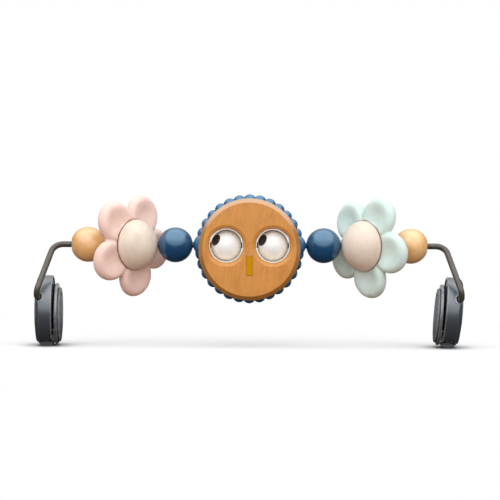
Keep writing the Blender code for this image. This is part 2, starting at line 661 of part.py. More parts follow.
def build_eye(name, side):
    """A ball that turns on the bar, with its pupil let into it."""
    radius = EYE_BALL_DIAMETER / 2
    pivot = add_pivot(name + "_eye_pivot", (side * EYE_REACH, 0, BAR_HEIGHT))
    outline = bead_outline(radius, BORE_RADIUS, BORE_RADIUS, BEAD_ARC_STEPS)
    aim = Vector(PUPIL_DIRECTION_SHARES).normalized()
    ball = add_piece(name + "_eye_ball", turned(outline, EYE_STEPS), WHITE, pivot, turn=(0, ALONG_BAR, 0))
    upright = Euler((0, ALONG_BAR, 0)).to_matrix().inverted()
    seat_depth = math.sqrt(radius**2 - PUPIL_RADIUS**2) - PUPIL_DEPTH
    recess = rod(PUPIL_RADIUS + GAP, upright @ aim * seat_depth, upright @ aim * (radius + OVERRUN))
    combine(ball, name + "_pupil_recess", recess)
    edge = math.asin(PUPIL_RADIUS / radius)
    cap = arc((0, 0), radius, math.pi / 2 - edge, math.pi / 2, PUPIL_ARC_STEPS)
    foot = seat_depth + GAP
    plug = [(0, foot), (PUPIL_RADIUS, foot)] + [(max(0, across), along) for across, along in cap]
    turn = aim.to_track_quat("Z", "Y").to_euler()
    add_piece(name + "_eye_pupil", turned(plug, HOLE_STEPS), BLACK, pivot, turn=turn)


def build_face():
    pivot = add_pivot("face_pivot", (0, 0, BAR_HEIGHT), turn=(ALONG_BAR, 0, 0))
    front = build_face_disc("face_front_disc", pivot, (0, 0, 0))
    build_face_disc("face_back_disc", pivot, (0, math.pi, 0))
    build_scalloped_disc(pivot)
    beak_low = (-BEAK_WIDTH / 2, -BEAK_DROP - BEAK_HEIGHT / 2, DISC_FRONT - BEAK_DEPTH)
    beak_high = (BEAK_WIDTH / 2, -BEAK_DROP + BEAK_HEIGHT / 2, DISC_FRONT + BEAK_PROUD)
    beak = block(beak_low, beak_high)
    add_piece("face_beak", beak, MUSTARD, pivot)
    rise = Vector((GAP, DISC_DROP + GAP, OVERRUN))
    sink = Vector((GAP, GAP - DISC_DROP, GAP))
    combine(front, "beak_pocket", block(Vector(beak_low) - sink, Vector(beak_high) + rise))
    for index, angle in enumerate(FACE_DOWEL_ANGLES, start=1):
        dowel = face_dowel_shape(FACE_DOWEL_RADIUS, 0, SMALL_STEPS, [angle])
        add_piece(f"face_dowel_{index}", dowel, DOWEL_WOOD, pivot, DISC_CENTRE)
    for name, side in (("left", -1), ("right", 1)):
        build_eye_liner(name, pivot, side)
        build_eye(name, side)


# The clips. Shapes are made for the left clip and mirrored for the right.
CAVITY_RADIUS = CLIP_RADIUS - SHELL_WALL
SHELL_SHOULDER_RADIUS = CLIP_RADIUS - SHELL_EDGE_WIDTH
SCREW_CIRCLE_RADIUS = CAVITY_RADIUS - SCREW_INSET
PLATE_FACE = SHELL_RIM_IN - GRIP_PAD_THICKNESS - GAP
PLATE_BACK = PLATE_FACE - BASE_THICKNESS
FOOT_TOP_DROP = CLIP_RADIUS - FOOT_HEIGHT
PIN_INWARD = SHELL_RIM_IN - PIN_INSET
PIN_DROP = CLIP_RADIUS - PIN_HEIGHT
PIN_POINT = Vector((PIN_INWARD, 0, -PIN_DROP))
WINDOW_TOP_DROP = PIN_DROP - WINDOW_HEIGHT
JAW_RADIUS = CLIP_RADIUS - JAW_INSET
JAW_BACK = SHELL_RIM_IN + SLOT_WIDTH
JAW_FACE = JAW_BACK + JAW_THICKNESS
JAW_PAD_RADIUS = JAW_RADIUS - JAW_PAD_INSET
COVER_RADIUS = JAW_RADIUS - COVER_INSET
CLIP_FROM_HOOK = Vector((HOOK_OUTWARD, CLIP_SETBACK - HOOK_SETBACK, -HOOK_RISE))


def inwards(shape):
    """Turns a shape spun round Z so that it is spun round the clip's inward x."""
    bmesh.ops.rotate(shape, verts=shape.verts, matrix=Matrix.Rotation(ALONG_BAR, 3, "Y"))
    return shape


def handed(shape, side):
    """The shape for the left clip, or its mirror image for the right."""
    if side > 0:
        bmesh.ops.scale(shape, verts=shape.verts, vec=(-1, 1, 1))
        bmesh.ops.reverse_faces(shape, faces=shape.faces)
    return shape


def crown(radius, face, rise, steps):
    """A shallow dome's points, from its top on the axis out to its shoulder."""
    shares = [step / steps for step in range(steps + 1)]
    return [(radius * share, face + rise * share * share) for share in shares]


def screw_point(angle, along):
    return Vector((along, SCREW_CIRCLE_RADIUS * math.cos(angle), SCREW_CIRCLE_RADIUS * math.sin(angle)))


def screw_group(radius, low, high):
    shape = None
    for angle in SCREW_ANGLES:
        shape = rod(radius, screw_point(angle, low), screw_point(angle, high), SMALL_STEPS, shape)
    return shape


SCREW_SEAT = PLATE_FACE - SCREW_HEAD_HEIGHT - GAP
SCREW_TIP = SCREW_SEAT - SCREW_LENGTH


def build_clip_shell(name, side, pivot, place):
    crown_foot = -SHELL_FACE_OUT + SHELL_CROWN_RISE
    edge_radius = crown_foot + SHELL_EDGE_START
    outer_edge = [
        (SHELL_SHOULDER_RADIUS + (CLIP_RADIUS - SHELL_SHOULDER_RADIUS) * math.sin(a),
         -SHELL_EDGE_START + edge_radius * math.cos(a))
        for a in [math.pi / 2 * step / SHELL_EDGE_STEPS for step in range(1, SHELL_EDGE_STEPS + 1)]
    ]
    outline = crown(SHELL_SHOULDER_RADIUS, -SHELL_FACE_OUT, SHELL_CROWN_RISE, SHELL_CROWN_STEPS)
    outline += outer_edge
    outline += [
        (CLIP_RADIUS, SHELL_RIM_IN - SHELL_RIM_CHAMFER),
        (CLIP_RADIUS - SHELL_RIM_CHAMFER, SHELL_RIM_IN),
        (CAVITY_RADIUS, SHELL_RIM_IN),
        (CAVITY_RADIUS, -SHELL_EDGE_START),
        (SHELL_SHOULDER_RADIUS + SHELL_WALL, crown_foot + SHELL_WALL + SHELL_RIM_CHAMFER),
    ]
    outline += reversed(crown(SHELL_SHOULDER_RADIUS, SHELL_WALL - SHELL_FACE_OUT, SHELL_CROWN_RISE, 1))
    shell = add_piece(
        name + "_clip_shell", handed(inwards(turned(outline, CLIP_STEPS)), side), SLATE, pivot, place
    )
    boss_foot = SHELL_WALL / 2 - SHELL_FACE_OUT + SHELL_CROWN_RISE
    bosses = screw_group(SCREW_BOSS_RADIUS, boss_foot, PLATE_BACK - GAP)
    combine(shell, name + "_screw_bosses", handed(bosses, side), "UNION")
    pilots = screw_group(SCREW_RADIUS + SCREW_HOLE_GAP, SCREW_TIP - GAP, PLATE_BACK + OVERRUN)
    combine(shell, name + "_pilot_holes", handed(pilots, side))
    entry = -CLIP_FROM_HOOK
    hole_reach = HOOK_LINE * HOOK_HOLE_DEPTH
    hole = rod(BAR_RADIUS + HOOK_HOLE_CLEARANCE, entry - hole_reach, entry + hole_reach)
    combine(shell, name + "_hook_hole", handed(hole, side))
    slope = (NOTCH_INNER_HEIGHT - NOTCH_OUTER_HEIGHT) / (SHELL_FACE_OUT + SHELL_RIM_IN)
    notch = plate(
        [
            (-SHELL_FACE_OUT - OVERRUN, NOTCH_OUTER_HEIGHT - CLIP_RADIUS - slope * OVERRUN),
            (SHELL_RIM_IN + OVERRUN, NOTCH_INNER_HEIGHT - CLIP_RADIUS + slope * OVERRUN),
            (SHELL_RIM_IN + OVERRUN, -CLIP_RADIUS - OVERRUN),
            (-SHELL_FACE_OUT - OVERRUN, -CLIP_RADIUS - OVERRUN),
        ],
        -CLIP_RADIUS,
        CLIP_RADIUS,
    )
    combine(shell, name + "_foot_notch", handed(notch, side))


def ear_outline(radius, reach, top_rise, bottom_drop):
    """A hinge ear seen along the pin: round about the pin, and straight back to what carries it."""
    nose = arc((PIN_INWARD, -PIN_DROP), radius, math.pi / 2, math.pi * 3 / 2, FOOT_ARC_STEPS)
    return nose + [(reach, -PIN_DROP - bottom_drop), (reach, -PIN_DROP + top_rise)]


def build_clip_base(name, side, pivot, place):
    """The plate behind the grip pad, with the hinge ears and the foot."""
    disc_radius = CAVITY_RADIUS - GAP
    disc = [(0, PLATE_BACK), (disc_radius, PLATE_BACK), (disc_radius, PLATE_FACE), (0, PLATE_FACE)]
    shape = handed(inwards(turned(disc, CLIP_STEPS)), side)
    base = add_piece(name + "_clip_base", shape, SLATE, pivot, place)
    sole_centre = (SOLE_INWARD, SOLE_RADIUS - CLIP_RADIUS)
    top_chord = math.sqrt(SOLE_RADIUS**2 - (FOOT_TOP_DROP + sole_centre[1]) ** 2)
    first = math.pi + math.acos(top_chord / SOLE_RADIUS)
    last = math.tau - math.acos((PLATE_FACE - SOLE_INWARD) / SOLE_RADIUS)
    foot = arc(sole_centre, SOLE_RADIUS, first, last, FOOT_ARC_STEPS) + [(PLATE_FACE, -FOOT_TOP_DROP)]
    combine(base, name + "_foot", handed(plate(foot, -FOOT_LENGTH / 2, FOOT_LENGTH / 2), side), "UNION")
    ears = None
    ear = ear_outline(EAR_RADIUS, (PLATE_BACK + PLATE_FACE) / 2, EAR_RADIUS, EAR_RADIUS - GAP)
    for start in (-EAR_INNER_FACE - EAR_THICKNESS, EAR_INNER_FACE):
        ears = plate(ear, start, start + EAR_THICKNESS, ears)
    combine(base, name + "_ears", handed(ears, side), "UNION")
    window_low = (PIN_INWARD, -EAR_INNER_FACE, -FOOT_TOP_DROP)
    window_high = (PLATE_FACE + OVERRUN, EAR_INNER_FACE, -WINDOW_TOP_DROP)
    combine(base, name + "_hinge_window", handed(block(window_low, window_high), side))
    pin_reach = Vector((0, EAR_INNER_FACE + EAR_THICKNESS + OVERRUN, 0))
    pin_hole = rod(PIN_RADIUS + GAP, PIN_POINT - pin_reach, PIN_POINT + pin_reach)
    combine(base, name + "_pin_holes", handed(pin_hole, side))
    holes = screw_group(SCREW_RADIUS + SCREW_HOLE_GAP, PLATE_BACK - OVERRUN, PLATE_FACE + OVERRUN)
    combine(base, name + "_screw_holes", handed(holes, side))
    seats = screw_group(SCREW_HEAD_RADIUS + SCREW_HOLE_GAP, SCREW_SEAT - GAP, PLATE_FACE + OVERRUN)
    combine(base, name + "_screw_seats", handed(seats, side))
    nut_start = HOOK_LINE * (PUSH_NUT_START - 2 * GAP) - CLIP_FROM_HOOK
    nut_end = HOOK_LINE * (HOOK_DEPTH + OVERRUN) - CLIP_FROM_HOOK
    pocket = rod(BAR_RADIUS + PUSH_NUT_WALL + RUNNING_GAP, nut_start, nut_end)
    combine(base, name + "_nut_pocket", handed(pocket, side))


def build_clip_fittings(name, side, pivot, place):
    low, high = PLATE_FACE + GAP, SHELL_RIM_IN
    radius = CAVITY_RADIUS - GRIP_PAD_INSET
    pad = inwards(turned([(0, low), (radius, low), (radius, high), (0, high)], JAW_STEPS))
    grip = add_piece(name + "_clip_grip_pad", handed(pad, side), RUBBER, pivot, place)
    cut_low = (low - OVERRUN, -radius, -radius - OVERRUN)
    cut_high = (high + OVERRUN, radius, -WINDOW_TOP_DROP + GRIP_PAD_CUT_ROOM)
    combine(grip, name + "_grip_pad_cut", handed(block(cut_low, cut_high), side))
    for index, angle in enumerate(SCREW_ANGLES, start=1):
        head_top = SCREW_SEAT + SCREW_HEAD_HEIGHT
        outline = [
            (0, SCREW_TIP), (SCREW_RADIUS, SCREW_TIP), (SCREW_RADIUS, SCREW_SEAT),
            (SCREW_HEAD_RADIUS, SCREW_SEAT), (SCREW_HEAD_RADIUS, head_top), (0, head_top),
        ]
        screw = inwards(turned(outline, SMALL_STEPS))
        bmesh.ops.translate(screw, verts=screw.verts, vec=screw_point(angle, 0))
        add_piece(f"{name}_clip_screw_{index}", handed(screw, side), BRIGHT_STEEL, pivot, place)
    build_wire_socket(name, side, pivot, place)


def build_wire_socket(name, side, pivot, place):
    """The block between the shell and the base plate in which the bar's hook turns."""
    entry = -CLIP_FROM_HOOK
    middle = entry + HOOK_LINE * (SOCKET_START + SOCKET_LENGTH / 2)
    shell_inside = SHELL_WALL - SHELL_FACE_OUT + SHELL_CROWN_RISE
    low = (shell_inside + GAP, middle.y - SOCKET_LENGTH / 2, middle.z - SOCKET_HEIGHT / 2)
    high = (PLATE_BACK - GAP, middle.y + SOCKET_LENGTH / 2 + OVERRUN, middle.z + SOCKET_HEIGHT / 2)
    shape = block(low, high)
    bmesh.ops.bevel(
        shape, geom=shape.edges, offset=SOCKET_CORNER, affect="EDGES", segments=1, profile=0.5, material=-1
    )
    socket = add_piece(name + "_wire_socket", handed(shape, side), SLATE, pivot, place)
    bore = rod(BAR_RADIUS + GAP, entry, entry + HOOK_LINE * (HOOK_DEPTH + OVERRUN))
    combine(socket, name + "_socket_bore", handed(bore, side))
    nut_seat = entry + HOOK_LINE * (SOCKET_START + SOCKET_LENGTH)
    trim = rod(SOCKET_HEIGHT, nut_seat, nut_seat + HOOK_LINE * SOCKET_LENGTH)
    combine(socket, name + "_nut_seat", handed(trim, side))


def build_push_nut(name, side):
    """The push nut on the hook's end, behind the socket."""
    inner, outer = BAR_RADIUS + GAP, BAR_RADIUS + PUSH_NUT_WALL
    low, high = PUSH_NUT_START, PUSH_NUT_START + PUSH_NUT_THICKNESS
    shape = turned([(inner, low), (outer, low), (outer, high), (inner, high)], HOLE_STEPS)
    turn = HOOK_LINE.to_track_quat("Z", "Y").to_matrix()
    bmesh.ops.rotate(shape, verts=shape.verts, matrix=turn)
    add_piece(name + "_push_nut", handed(shape, side), BRIGHT_STEEL, None, mirrored(HOOK_ENTRY, side))


def build_jaw(name, side, hinge, place):
    """The jaw, its cover and its pad, on the hinge pin at the clip's foot."""
    edge_radius, recess_floor = JAW_RADIUS - JAW_EDGE, JAW_BACK + JAW_PAD_THICKNESS + GAP
    recess_radius = JAW_PAD_RADIUS + GAP
    outline = [
        (0, recess_floor), (recess_radius, recess_floor), (recess_radius, JAW_BACK),
        (edge_radius, JAW_BACK), (JAW_RADIUS, JAW_BACK + JAW_EDGE),
        (JAW_RADIUS, JAW_FACE - JAW_EDGE), (edge_radius, JAW_FACE), (0, JAW_FACE),
    ]
    drop = Vector((0, 0, -JAW_DROP))
    shape = inwards(turned(outline, JAW_STEPS))
    bmesh.ops.translate(shape, verts=shape.verts, vec=drop)
    jaw = add_piece(name + "_jaw", handed(shape, side), SLATE, hinge, place)
    lugs = None
    lug = ear_outline(LUG_EYE_RADIUS, JAW_BACK + JAW_EDGE, LUG_TOP_RISE, LUG_FOOT_DROP)
    for start in (-LUG_INNER_FACE - LUG_THICKNESS, LUG_INNER_FACE):
        lugs = plate(lug, start, start + LUG_THICKNESS, lugs)
    combine(jaw, name + "_lugs", handed(lugs, side), "UNION")
    reach = Vector((0, LUG_INNER_FACE + LUG_THICKNESS + OVERRUN, 0))
    holes = rod(PIN_RADIUS + GAP, PIN_POINT - reach, PIN_POINT + reach)
    combine(jaw, name + "_lug_holes", handed(holes, side))
    leg_height = SPRING_JAW_LEG_RISE - PIN_DROP
    leg_end = Vector((JAW_BACK + SPRING_HOLE_DEPTH, SPRING_LENGTH / 2, leg_height))
    leg_start = Vector((JAW_BACK - OVERRUN, SPRING_LENGTH / 2, leg_height))
    leg_hole = rod(SPRING_WIRE_RADIUS + GAP, leg_end, leg_start, SMALL_STEPS)
    combine(jaw, name + "_spring_hole", handed(leg_hole, side))
    low, high = JAW_BACK, JAW_BACK + JAW_PAD_THICKNESS
    pad_outline = [(0, low), (JAW_PAD_RADIUS, low), (JAW_PAD_RADIUS, high), (0, high)]
    pad = inwards(turned(pad_outline, JAW_STEPS))
    bmesh.ops.translate(pad, verts=pad.verts, vec=drop)
    add_piece(name + "_jaw_grip_pad", handed(pad, side), RUBBER, hinge, place)
    build_jaw_cover(name, side, hinge, place)


def build_jaw_cover(name, side, hinge, place):
    foot = JAW_FACE + GAP
    face = foot + COVER_RIM_HEIGHT
    ring_radius = COVER_RADIUS - COVER_RING_INSET
    ring_inner = ring_radius - COVER_RING_WIDTH / 2
    ring_outer = ring_radius + COVER_RING_WIDTH / 2
    outline = [(0, foot), (COVER_RADIUS, foot), (COVER_RADIUS, face - COVER_EDGE)]
    outline += [(COVER_RADIUS - COVER_EDGE, face), (ring_outer, face), (ring_outer, face - COVER_RING_DEPTH)]
    outline += [(ring_inner, face - COVER_RING_DEPTH), (ring_inner, face)]
    dome = crown(ring_inner, face + COVER_CROWN, -COVER_CROWN, SHELL_CROWN_STEPS)
    outline += list(reversed(dome[:-1]))
    shape = inwards(turned(outline, JAW_STEPS))
    bmesh.ops.translate(shape, verts=shape.verts, vec=(0, 0, -COVER_DROP))
    add_piece(name + "_jaw_cover", handed(shape, side), SLATE, hinge, place)


def build_hinge(name, side, pivot, place):
    """The pin, and the spring on it: one leg behind the base plate, the other in the jaw."""
    reach = Vector((0, EAR_INNER_FACE + EAR_THICKNESS - GAP, 0))
    pin = rod(PIN_RADIUS, PIN_POINT - reach, PIN_POINT + reach, SMALL_STEPS)
    add_piece(name + "_hinge_pin", handed(pin, side), BRIGHT_STEEL, pivot, place)
    leg_inward = PLATE_BACK - SPRING_PLATE_LEG_GAP
    points = [
        PIN_POINT + Vector((leg_inward - PIN_INWARD, -SPRING_LENGTH / 2, SPRING_PLATE_LEG_RISE)),
        PIN_POINT + Vector((-SPRING_COIL_RADIUS, -SPRING_LENGTH / 2, SPRING_BEND_RISE)),
    ]
    count = round(SPRING_TURNS * SPRING_POINTS_PER_TURN)
    for step in range(count + 1):
        angle = math.pi + FULL_TURN * step / SPRING_POINTS_PER_TURN
        across = SPRING_COIL_RADIUS * math.cos(angle)
        up = SPRING_COIL_RADIUS * math.sin(angle)
        points.append(PIN_POINT + Vector((across, SPRING_LENGTH * (step / count - 0.5), up)))
    for inward in (SHELL_RIM_IN, JAW_BACK + SPRING_HOLE_DEPTH - GAP):
        points.append(Vector((inward, SPRING_LENGTH / 2, SPRING_JAW_LEG_RISE - PIN_DROP)))
    points = [mirrored(point, side) for point in points]
    add_tube(name + "_jaw_spring", points, SPRING_WIRE_RADIUS, 1, BRIGHT_STEEL, pivot, place)


def build_clip(name, side, tilt):
    swing = Quaternion(mirrored(HOOK_LINE, side), tilt * side)
    swivel = add_pivot(name + "_clip_swivel", mirrored(HOOK_ENTRY, side), turn=swing.to_euler())
    place = mirrored(CLIP_FROM_HOOK, side)
    build_clip_shell(name, side, swivel, place)
    build_clip_base(name, side, swivel, place)
    build_clip_fittings(name, side, swivel, place)
    build_hinge(name, side, swivel, place)
    hinge = add_pivot(name + "_jaw_hinge", place + mirrored(PIN_POINT, side), swivel)
    build_jaw(name, side, hinge, -mirrored(PIN_POINT, side))
    build_push_nut(name, side)


build_bar()
for side_name, side_sign in (("left", -1), ("right", 1)):
    build_blue_bead(side_name, side_sign)
    build_end_bead(side_name, side_sign)
build_flower("pink", -1, PINK, PINK_FIRST_PETAL)
build_flower("mint", 1, MINT, MINT_FIRST_PETAL)
build_face()
build_clip("left", -1, LEFT_CLIP_TILT)
build_clip("right", 1, RIGHT_CLIP_TILT)
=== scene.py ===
"""Dresses the bouncer toy bar: every surface of it, a pale floor, soft light and the camera.

Metres, +Z up. X runs along the bar, the front is -Y, and the clips stand on z = 0.
"""

import json
import math

import bmesh
import bpy
from mathutils import Euler, Matrix, Quaternion, Vector


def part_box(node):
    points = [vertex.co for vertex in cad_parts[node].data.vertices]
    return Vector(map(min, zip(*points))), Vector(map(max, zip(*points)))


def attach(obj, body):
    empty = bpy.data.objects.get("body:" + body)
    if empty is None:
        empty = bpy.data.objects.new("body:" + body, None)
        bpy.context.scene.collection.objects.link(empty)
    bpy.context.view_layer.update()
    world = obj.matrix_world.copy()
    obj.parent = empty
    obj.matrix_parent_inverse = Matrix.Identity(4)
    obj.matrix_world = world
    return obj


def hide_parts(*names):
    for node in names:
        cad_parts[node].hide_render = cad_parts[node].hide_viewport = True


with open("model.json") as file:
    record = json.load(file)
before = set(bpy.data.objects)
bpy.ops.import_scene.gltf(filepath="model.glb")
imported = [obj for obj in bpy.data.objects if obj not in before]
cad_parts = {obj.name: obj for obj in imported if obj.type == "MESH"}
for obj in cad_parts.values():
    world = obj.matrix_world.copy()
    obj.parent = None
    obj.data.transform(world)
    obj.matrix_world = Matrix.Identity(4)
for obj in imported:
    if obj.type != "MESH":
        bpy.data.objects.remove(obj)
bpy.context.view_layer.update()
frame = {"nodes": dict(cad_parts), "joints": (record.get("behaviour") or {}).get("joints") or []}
scene = bpy.context.scene
scene.view_settings.view_transform = "Standard"
anchors = {joint["name"]: Vector(joint["pos_m"]) for joint in frame["joints"]}


# The camera stands well back in front of the bar, a little above it, so that the long bar shows
# almost without perspective. It is turned by a fraction of a degree.
CAMERA_DISTANCE = 2.6
CAMERA_RISE = math.radians(2)
CAMERA_ROLL = math.radians(0.35)
CAMERA_AIM = Vector((0.0005, 0, 0.0966))
PICTURE_WIDTH = 0.5         # in the plane of the bar


def add_object(name, data):
    thing = bpy.data.objects.new(name, data)
    scene.collection.objects.link(thing)
    return thing


camera = add_object("camera", bpy.data.cameras.new("camera"))
scene.camera = camera
sight = Vector((0, math.cos(CAMERA_RISE), -math.sin(CAMERA_RISE)))
camera.location = CAMERA_AIM - sight * CAMERA_DISTANCE
camera_turn = sight.to_track_quat("-Z", "Y") @ Quaternion((0, 0, 1), CAMERA_ROLL)
camera.rotation_euler = camera_turn.to_euler()
camera.data.lens = camera.data.sensor_width * CAMERA_DISTANCE / PICTURE_WIDTH


# The bar is one length of steel rod, bent cold into a long top, two legs and a hook at each foot,
# and then powder-coated in a satin taupe.
BAR_RADIUS = 0.003
BAR_HEIGHT = 0.1013
CORNER_REACH = 0.1953
CORNER_RADIUS = 0.012
LEG_FORWARD = 0.0444
HOOK_RADIUS = 0.0065
HOOK_DEPTH = 0.0313
BEND_STEP = math.radians(3)
COAT_COLOURS = ((0.066, 0.057, 0.041, 1), (0.048, 0.042, 0.030, 1))
COAT_GRAIN = (0.0004, 0.00003, 0.009)
EDGE_POINTINESS = 0.512     # where 0.5 is flat


def feed(socket, value):
    """Links an input to another node's socket, or gives it a plain value."""
    if isinstance(value, bpy.types.NodeSocket):
        socket.id_data.links.new(value, socket)
    else:
        socket.default_value = value


def set_inputs(node, **inputs):
    """Feeds a node's inputs by name. The spaces in a name are written as _."""
    for key, value in inputs.items():
        feed(node.inputs[key.replace("_", " ")], value)


def add_node(tree, kind, settings=None, **inputs):
    node = tree.nodes.new("ShaderNode" + kind)
    for key, value in (settings or {}).items():
        setattr(node, key, value)
    set_inputs(node, **inputs)
    return node


def calculate(operation, *values, clamp=False):
    tree = [value for value in values if isinstance(value, bpy.types.NodeSocket)][0].id_data
    node = add_node(tree, "Math", {"operation": operation, "use_clamp": clamp})
    for socket, value in zip(node.inputs, values):
        feed(socket, value)
    return node.outputs["Value"]


def object_place(tree):
    return add_node(tree, "TexCoord").outputs["Object"]


def new_group(name, inputs, outputs):
    """A node group with named inputs and outputs, which start from a number or a vector."""
    group = bpy.data.node_groups.new(name, "ShaderNodeTree")
    for end, sockets in (("INPUT", inputs), ("OUTPUT", outputs)):
        for label, value in sockets.items():
            kind = "NodeSocketFloat" if isinstance(value, float) else "NodeSocketVector"
            group.interface.new_socket(label, in_out=end, socket_type=kind).default_value = value
    return group, group.nodes.new("NodeGroupInput").outputs, group.nodes.new("NodeGroupOutput")


def use_group(tree, group, **inputs):
    """The outputs of a group that is placed in a material with its own values."""
    return add_node(tree, "Group", {"node_tree": group}, **inputs).outputs


def new_finish(name, **inputs):
    """A material and its shader, some of whose inputs are given."""
    finish = bpy.data.materials.new(name)
    finish.use_nodes = True
    shader = finish.node_tree.nodes["Principled BSDF"]
    set_inputs(shader, **inputs)
    return finish, shader


def mix_colours(mask, first, second):
    """The colour socket of a mix from a first colour to a second one, by a mask."""
    mix = add_node(mask.id_data, "Mix", {"data_type": "RGBA"}, Factor=mask)
    sockets = [item for item in mix.inputs if item.type == "RGBA"]
    for socket, colour in zip(sockets, (first, second)):
        feed(socket, colour)
    return [item for item in mix.outputs if item.type == "RGBA"][0]


def tint(shader, mask, colour):
    """Lays one more colour over what a shader shows, by a mask."""
    below = shader.inputs["Base Color"].links[0].from_socket
    set_inputs(shader, Base_Color=mix_colours(mask, below, colour))


def remap(value, low, high, new_low=0.0, new_high=1.0):
    """A value moved from one range to another, and held inside it."""
    ranges = {"From_Min": low, "From_Max": high, "To_Min": new_low, "To_Max": new_high}
    return add_node(value.id_data, "MapRange", Value=value, **ranges).outputs["Result"]


def noise(place, size, **inputs):
    """Noise whose patches are about as wide as the size."""
    scale = calculate("DIVIDE", 1, size)
    return add_node(place.id_data, "TexNoise", Vector=place, Scale=scale, **inputs).outputs["Fac"]


def build_skin_group():
    """Fine grain and slow mottling, as on paint, powder coat, silicone and moulded plastic."""
    group, inlet, outlet = new_group(
        "skin", {"Grain Size": 0.0004, "Grain Depth": 0.00002, "Mottle Size": 0.01},
        {"Mottle": 0.0, "Grain": 0.0, "Normal": (0.0, 0.0, 0.0)},
    )
    place = object_place(group)
    grain = noise(place, inlet["Grain Size"], Detail=3.0, Roughness=0.6)
    mottle = noise(place, inlet["Mottle Size"], Detail=4.0, Roughness=0.55)
    bump = add_node(group, "Bump", Strength=1.0, Height=grain, Distance=inlet["Grain Depth"])
    set_inputs(outlet, Mottle=mottle, Grain=grain, Normal=bump.outputs["Normal"])
    return group


def build_edge_group():
    """A mask of the outer edges, broken up by noise: where handling rubs a finish, and where a
    painted highlight lies along a rim.
    """
    group, inlet, outlet = new_group(
        "worn_and_highlit_edges", {"Sharpness": 0.05, "Patch Size": 0.003}, {"Rubbed": 0.0}
    )
    pointed = add_node(group, "NewGeometry").outputs["Pointiness"]
    above = calculate("SUBTRACT", pointed, EDGE_POINTINESS)
    edge = calculate("DIVIDE", above, inlet["Sharpness"], clamp=True)
    place = object_place(group)
    patches = noise(place, inlet["Patch Size"], Detail=5.0, Roughness=0.7)
    spread = remap(patches, 0.35, 0.65, 0.45)
    set_inputs(outlet, Rubbed=calculate("MULTIPLY", edge, spread))
    return group


skin = build_skin_group()
worn_and_highlit_edges = build_edge_group()


def skinned(name, colours, grain, roughness, patches=(0.35, 0.65), edge_wear_and_highlight=None, **inputs):
    """A finish in patches of two colours, with a fine grain.

    The grain's size and depth come first and then the patches' size. Where edges are lighter, worn
    through to the colour under a lacquer and lit by a painted highlight on the rims of slate
    plastic, that colour, how sharp the edges are and the size of the patches are given.
    """
    finish, shader = new_finish(name, **inputs)
    grains = dict(zip(("Grain_Size", "Grain_Depth", "Mottle_Size"), grain))
    film = use_group(finish.node_tree, skin, **grains)
    colour = mix_colours(remap(film["Mottle"], *patches), *colours)
    sheen = remap(film["Grain"], 0.3, 0.7, *roughness)
    set_inputs(shader, Base_Color=colour, Roughness=sheen, Normal=film["Normal"])
    # Lighter edges: wear on the lacquers, a painted highlight on the slate plastic.
    if edge_wear_and_highlight:
        edges = use_group(finish.node_tree, worn_and_highlit_edges, Sharpness=edge_wear_and_highlight[1], Patch_Size=edge_wear_and_highlight[2])
        tint(shader, edges["Rubbed"], edge_wear_and_highlight[0])
    return finish


def bent_path(corners, radii):
    """The points of a path whose inner corners are bent to the given radii."""
    points = [corners[0]]
    for index, radius in enumerate(radii, start=1):
        before, corner, after = corners[index - 1 : index + 2]
        inward, outward = (corner - before).normalized(), (after - corner).normalized()
        bend = inward.angle(outward)
        axis = inward.cross(outward).normalized()
        start = corner - inward * radius * math.tan(bend / 2)
        centre = start + axis.cross(inward) * radius
        steps = math.ceil(bend / BEND_STEP)
        for step in range(steps + 1):
            points.append(centre + Quaternion(axis, bend * step / steps) @ (start - centre))
    points.append(corners[-1])
    return points


def add_wire(name, points, radius, resolution, finish):
    """A round wire along a list of points, with closed ends."""
    curve = bpy.data.curves.new(name, "CURVE")
    curve.dimensions = "3D"
    curve.bevel_depth = radius
    curve.bevel_resolution = resolution
    curve.use_fill_caps = True
    line = curve.splines.new("POLY")
    line.points.add(len(points) - 1)
    for point, position in zip(line.points, points):
        point.co = (*position, 1)
    line.use_smooth = True
    curve.materials.append(finish)
    return add_object(name, curve)


def mirrored(point, side):
    """A point of the left-hand side, or its mirror image on the right."""
    return Vector((point[0] * -side, point[1], point[2]))


hook_entry = anchors["left_clip_swivel"]
hook_line = Vector(
    [joint["axis"] for joint in frame["joints"] if joint["name"] == "left_clip_swivel"][0]
)
lower_corner = hook_entry - hook_line * ((LEG_FORWARD + hook_entry.y) / hook_line.y)
hook_end = hook_entry + hook_line * HOOK_DEPTH
half_bar = [hook_end, lower_corner, Vector((-CORNER_REACH, 0, BAR_HEIGHT))]
bar_corners = half_bar + [mirrored(point, 1) for point in reversed(half_bar)]
bar_path = bent_path(bar_corners, (HOOK_RADIUS, CORNER_RADIUS, CORNER_RADIUS, HOOK_RADIUS))
coat = skinned(
    "coated_steel", COAT_COLOURS, COAT_GRAIN, roughness=(0.3, 0.42),
    Specular_IOR_Level=0.6, Coat_Weight=0.25, Coat_Roughness=0.24,
)
bar = add_wire("bent_bar", bar_path, BAR_RADIUS, 8, coat)
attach(bar, "bar")
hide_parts("bar")


# A pressed steel ring grips the bar inside each end bead and keeps the string together, and a
# push nut holds each hook in its clip. Both are bright zinc-plated steel.
RING_RADIUS = 0.0048
RING_THICKNESS = 0.002
RING_ROUNDING = 0.0005
STEEL_COLOURS = ((0.56, 0.56, 0.54, 1), (0.40, 0.40, 0.39, 1))
STEEL_GRAIN = (0.0006, 0.00001, 0.002)
GAP = 0.0003
OVERRUN = 0.002
MERGE = 0.00001
SMOOTH_ANGLE = math.radians(35)
FLAT_WEIGHT = 80
HERE = Matrix.Identity(4)


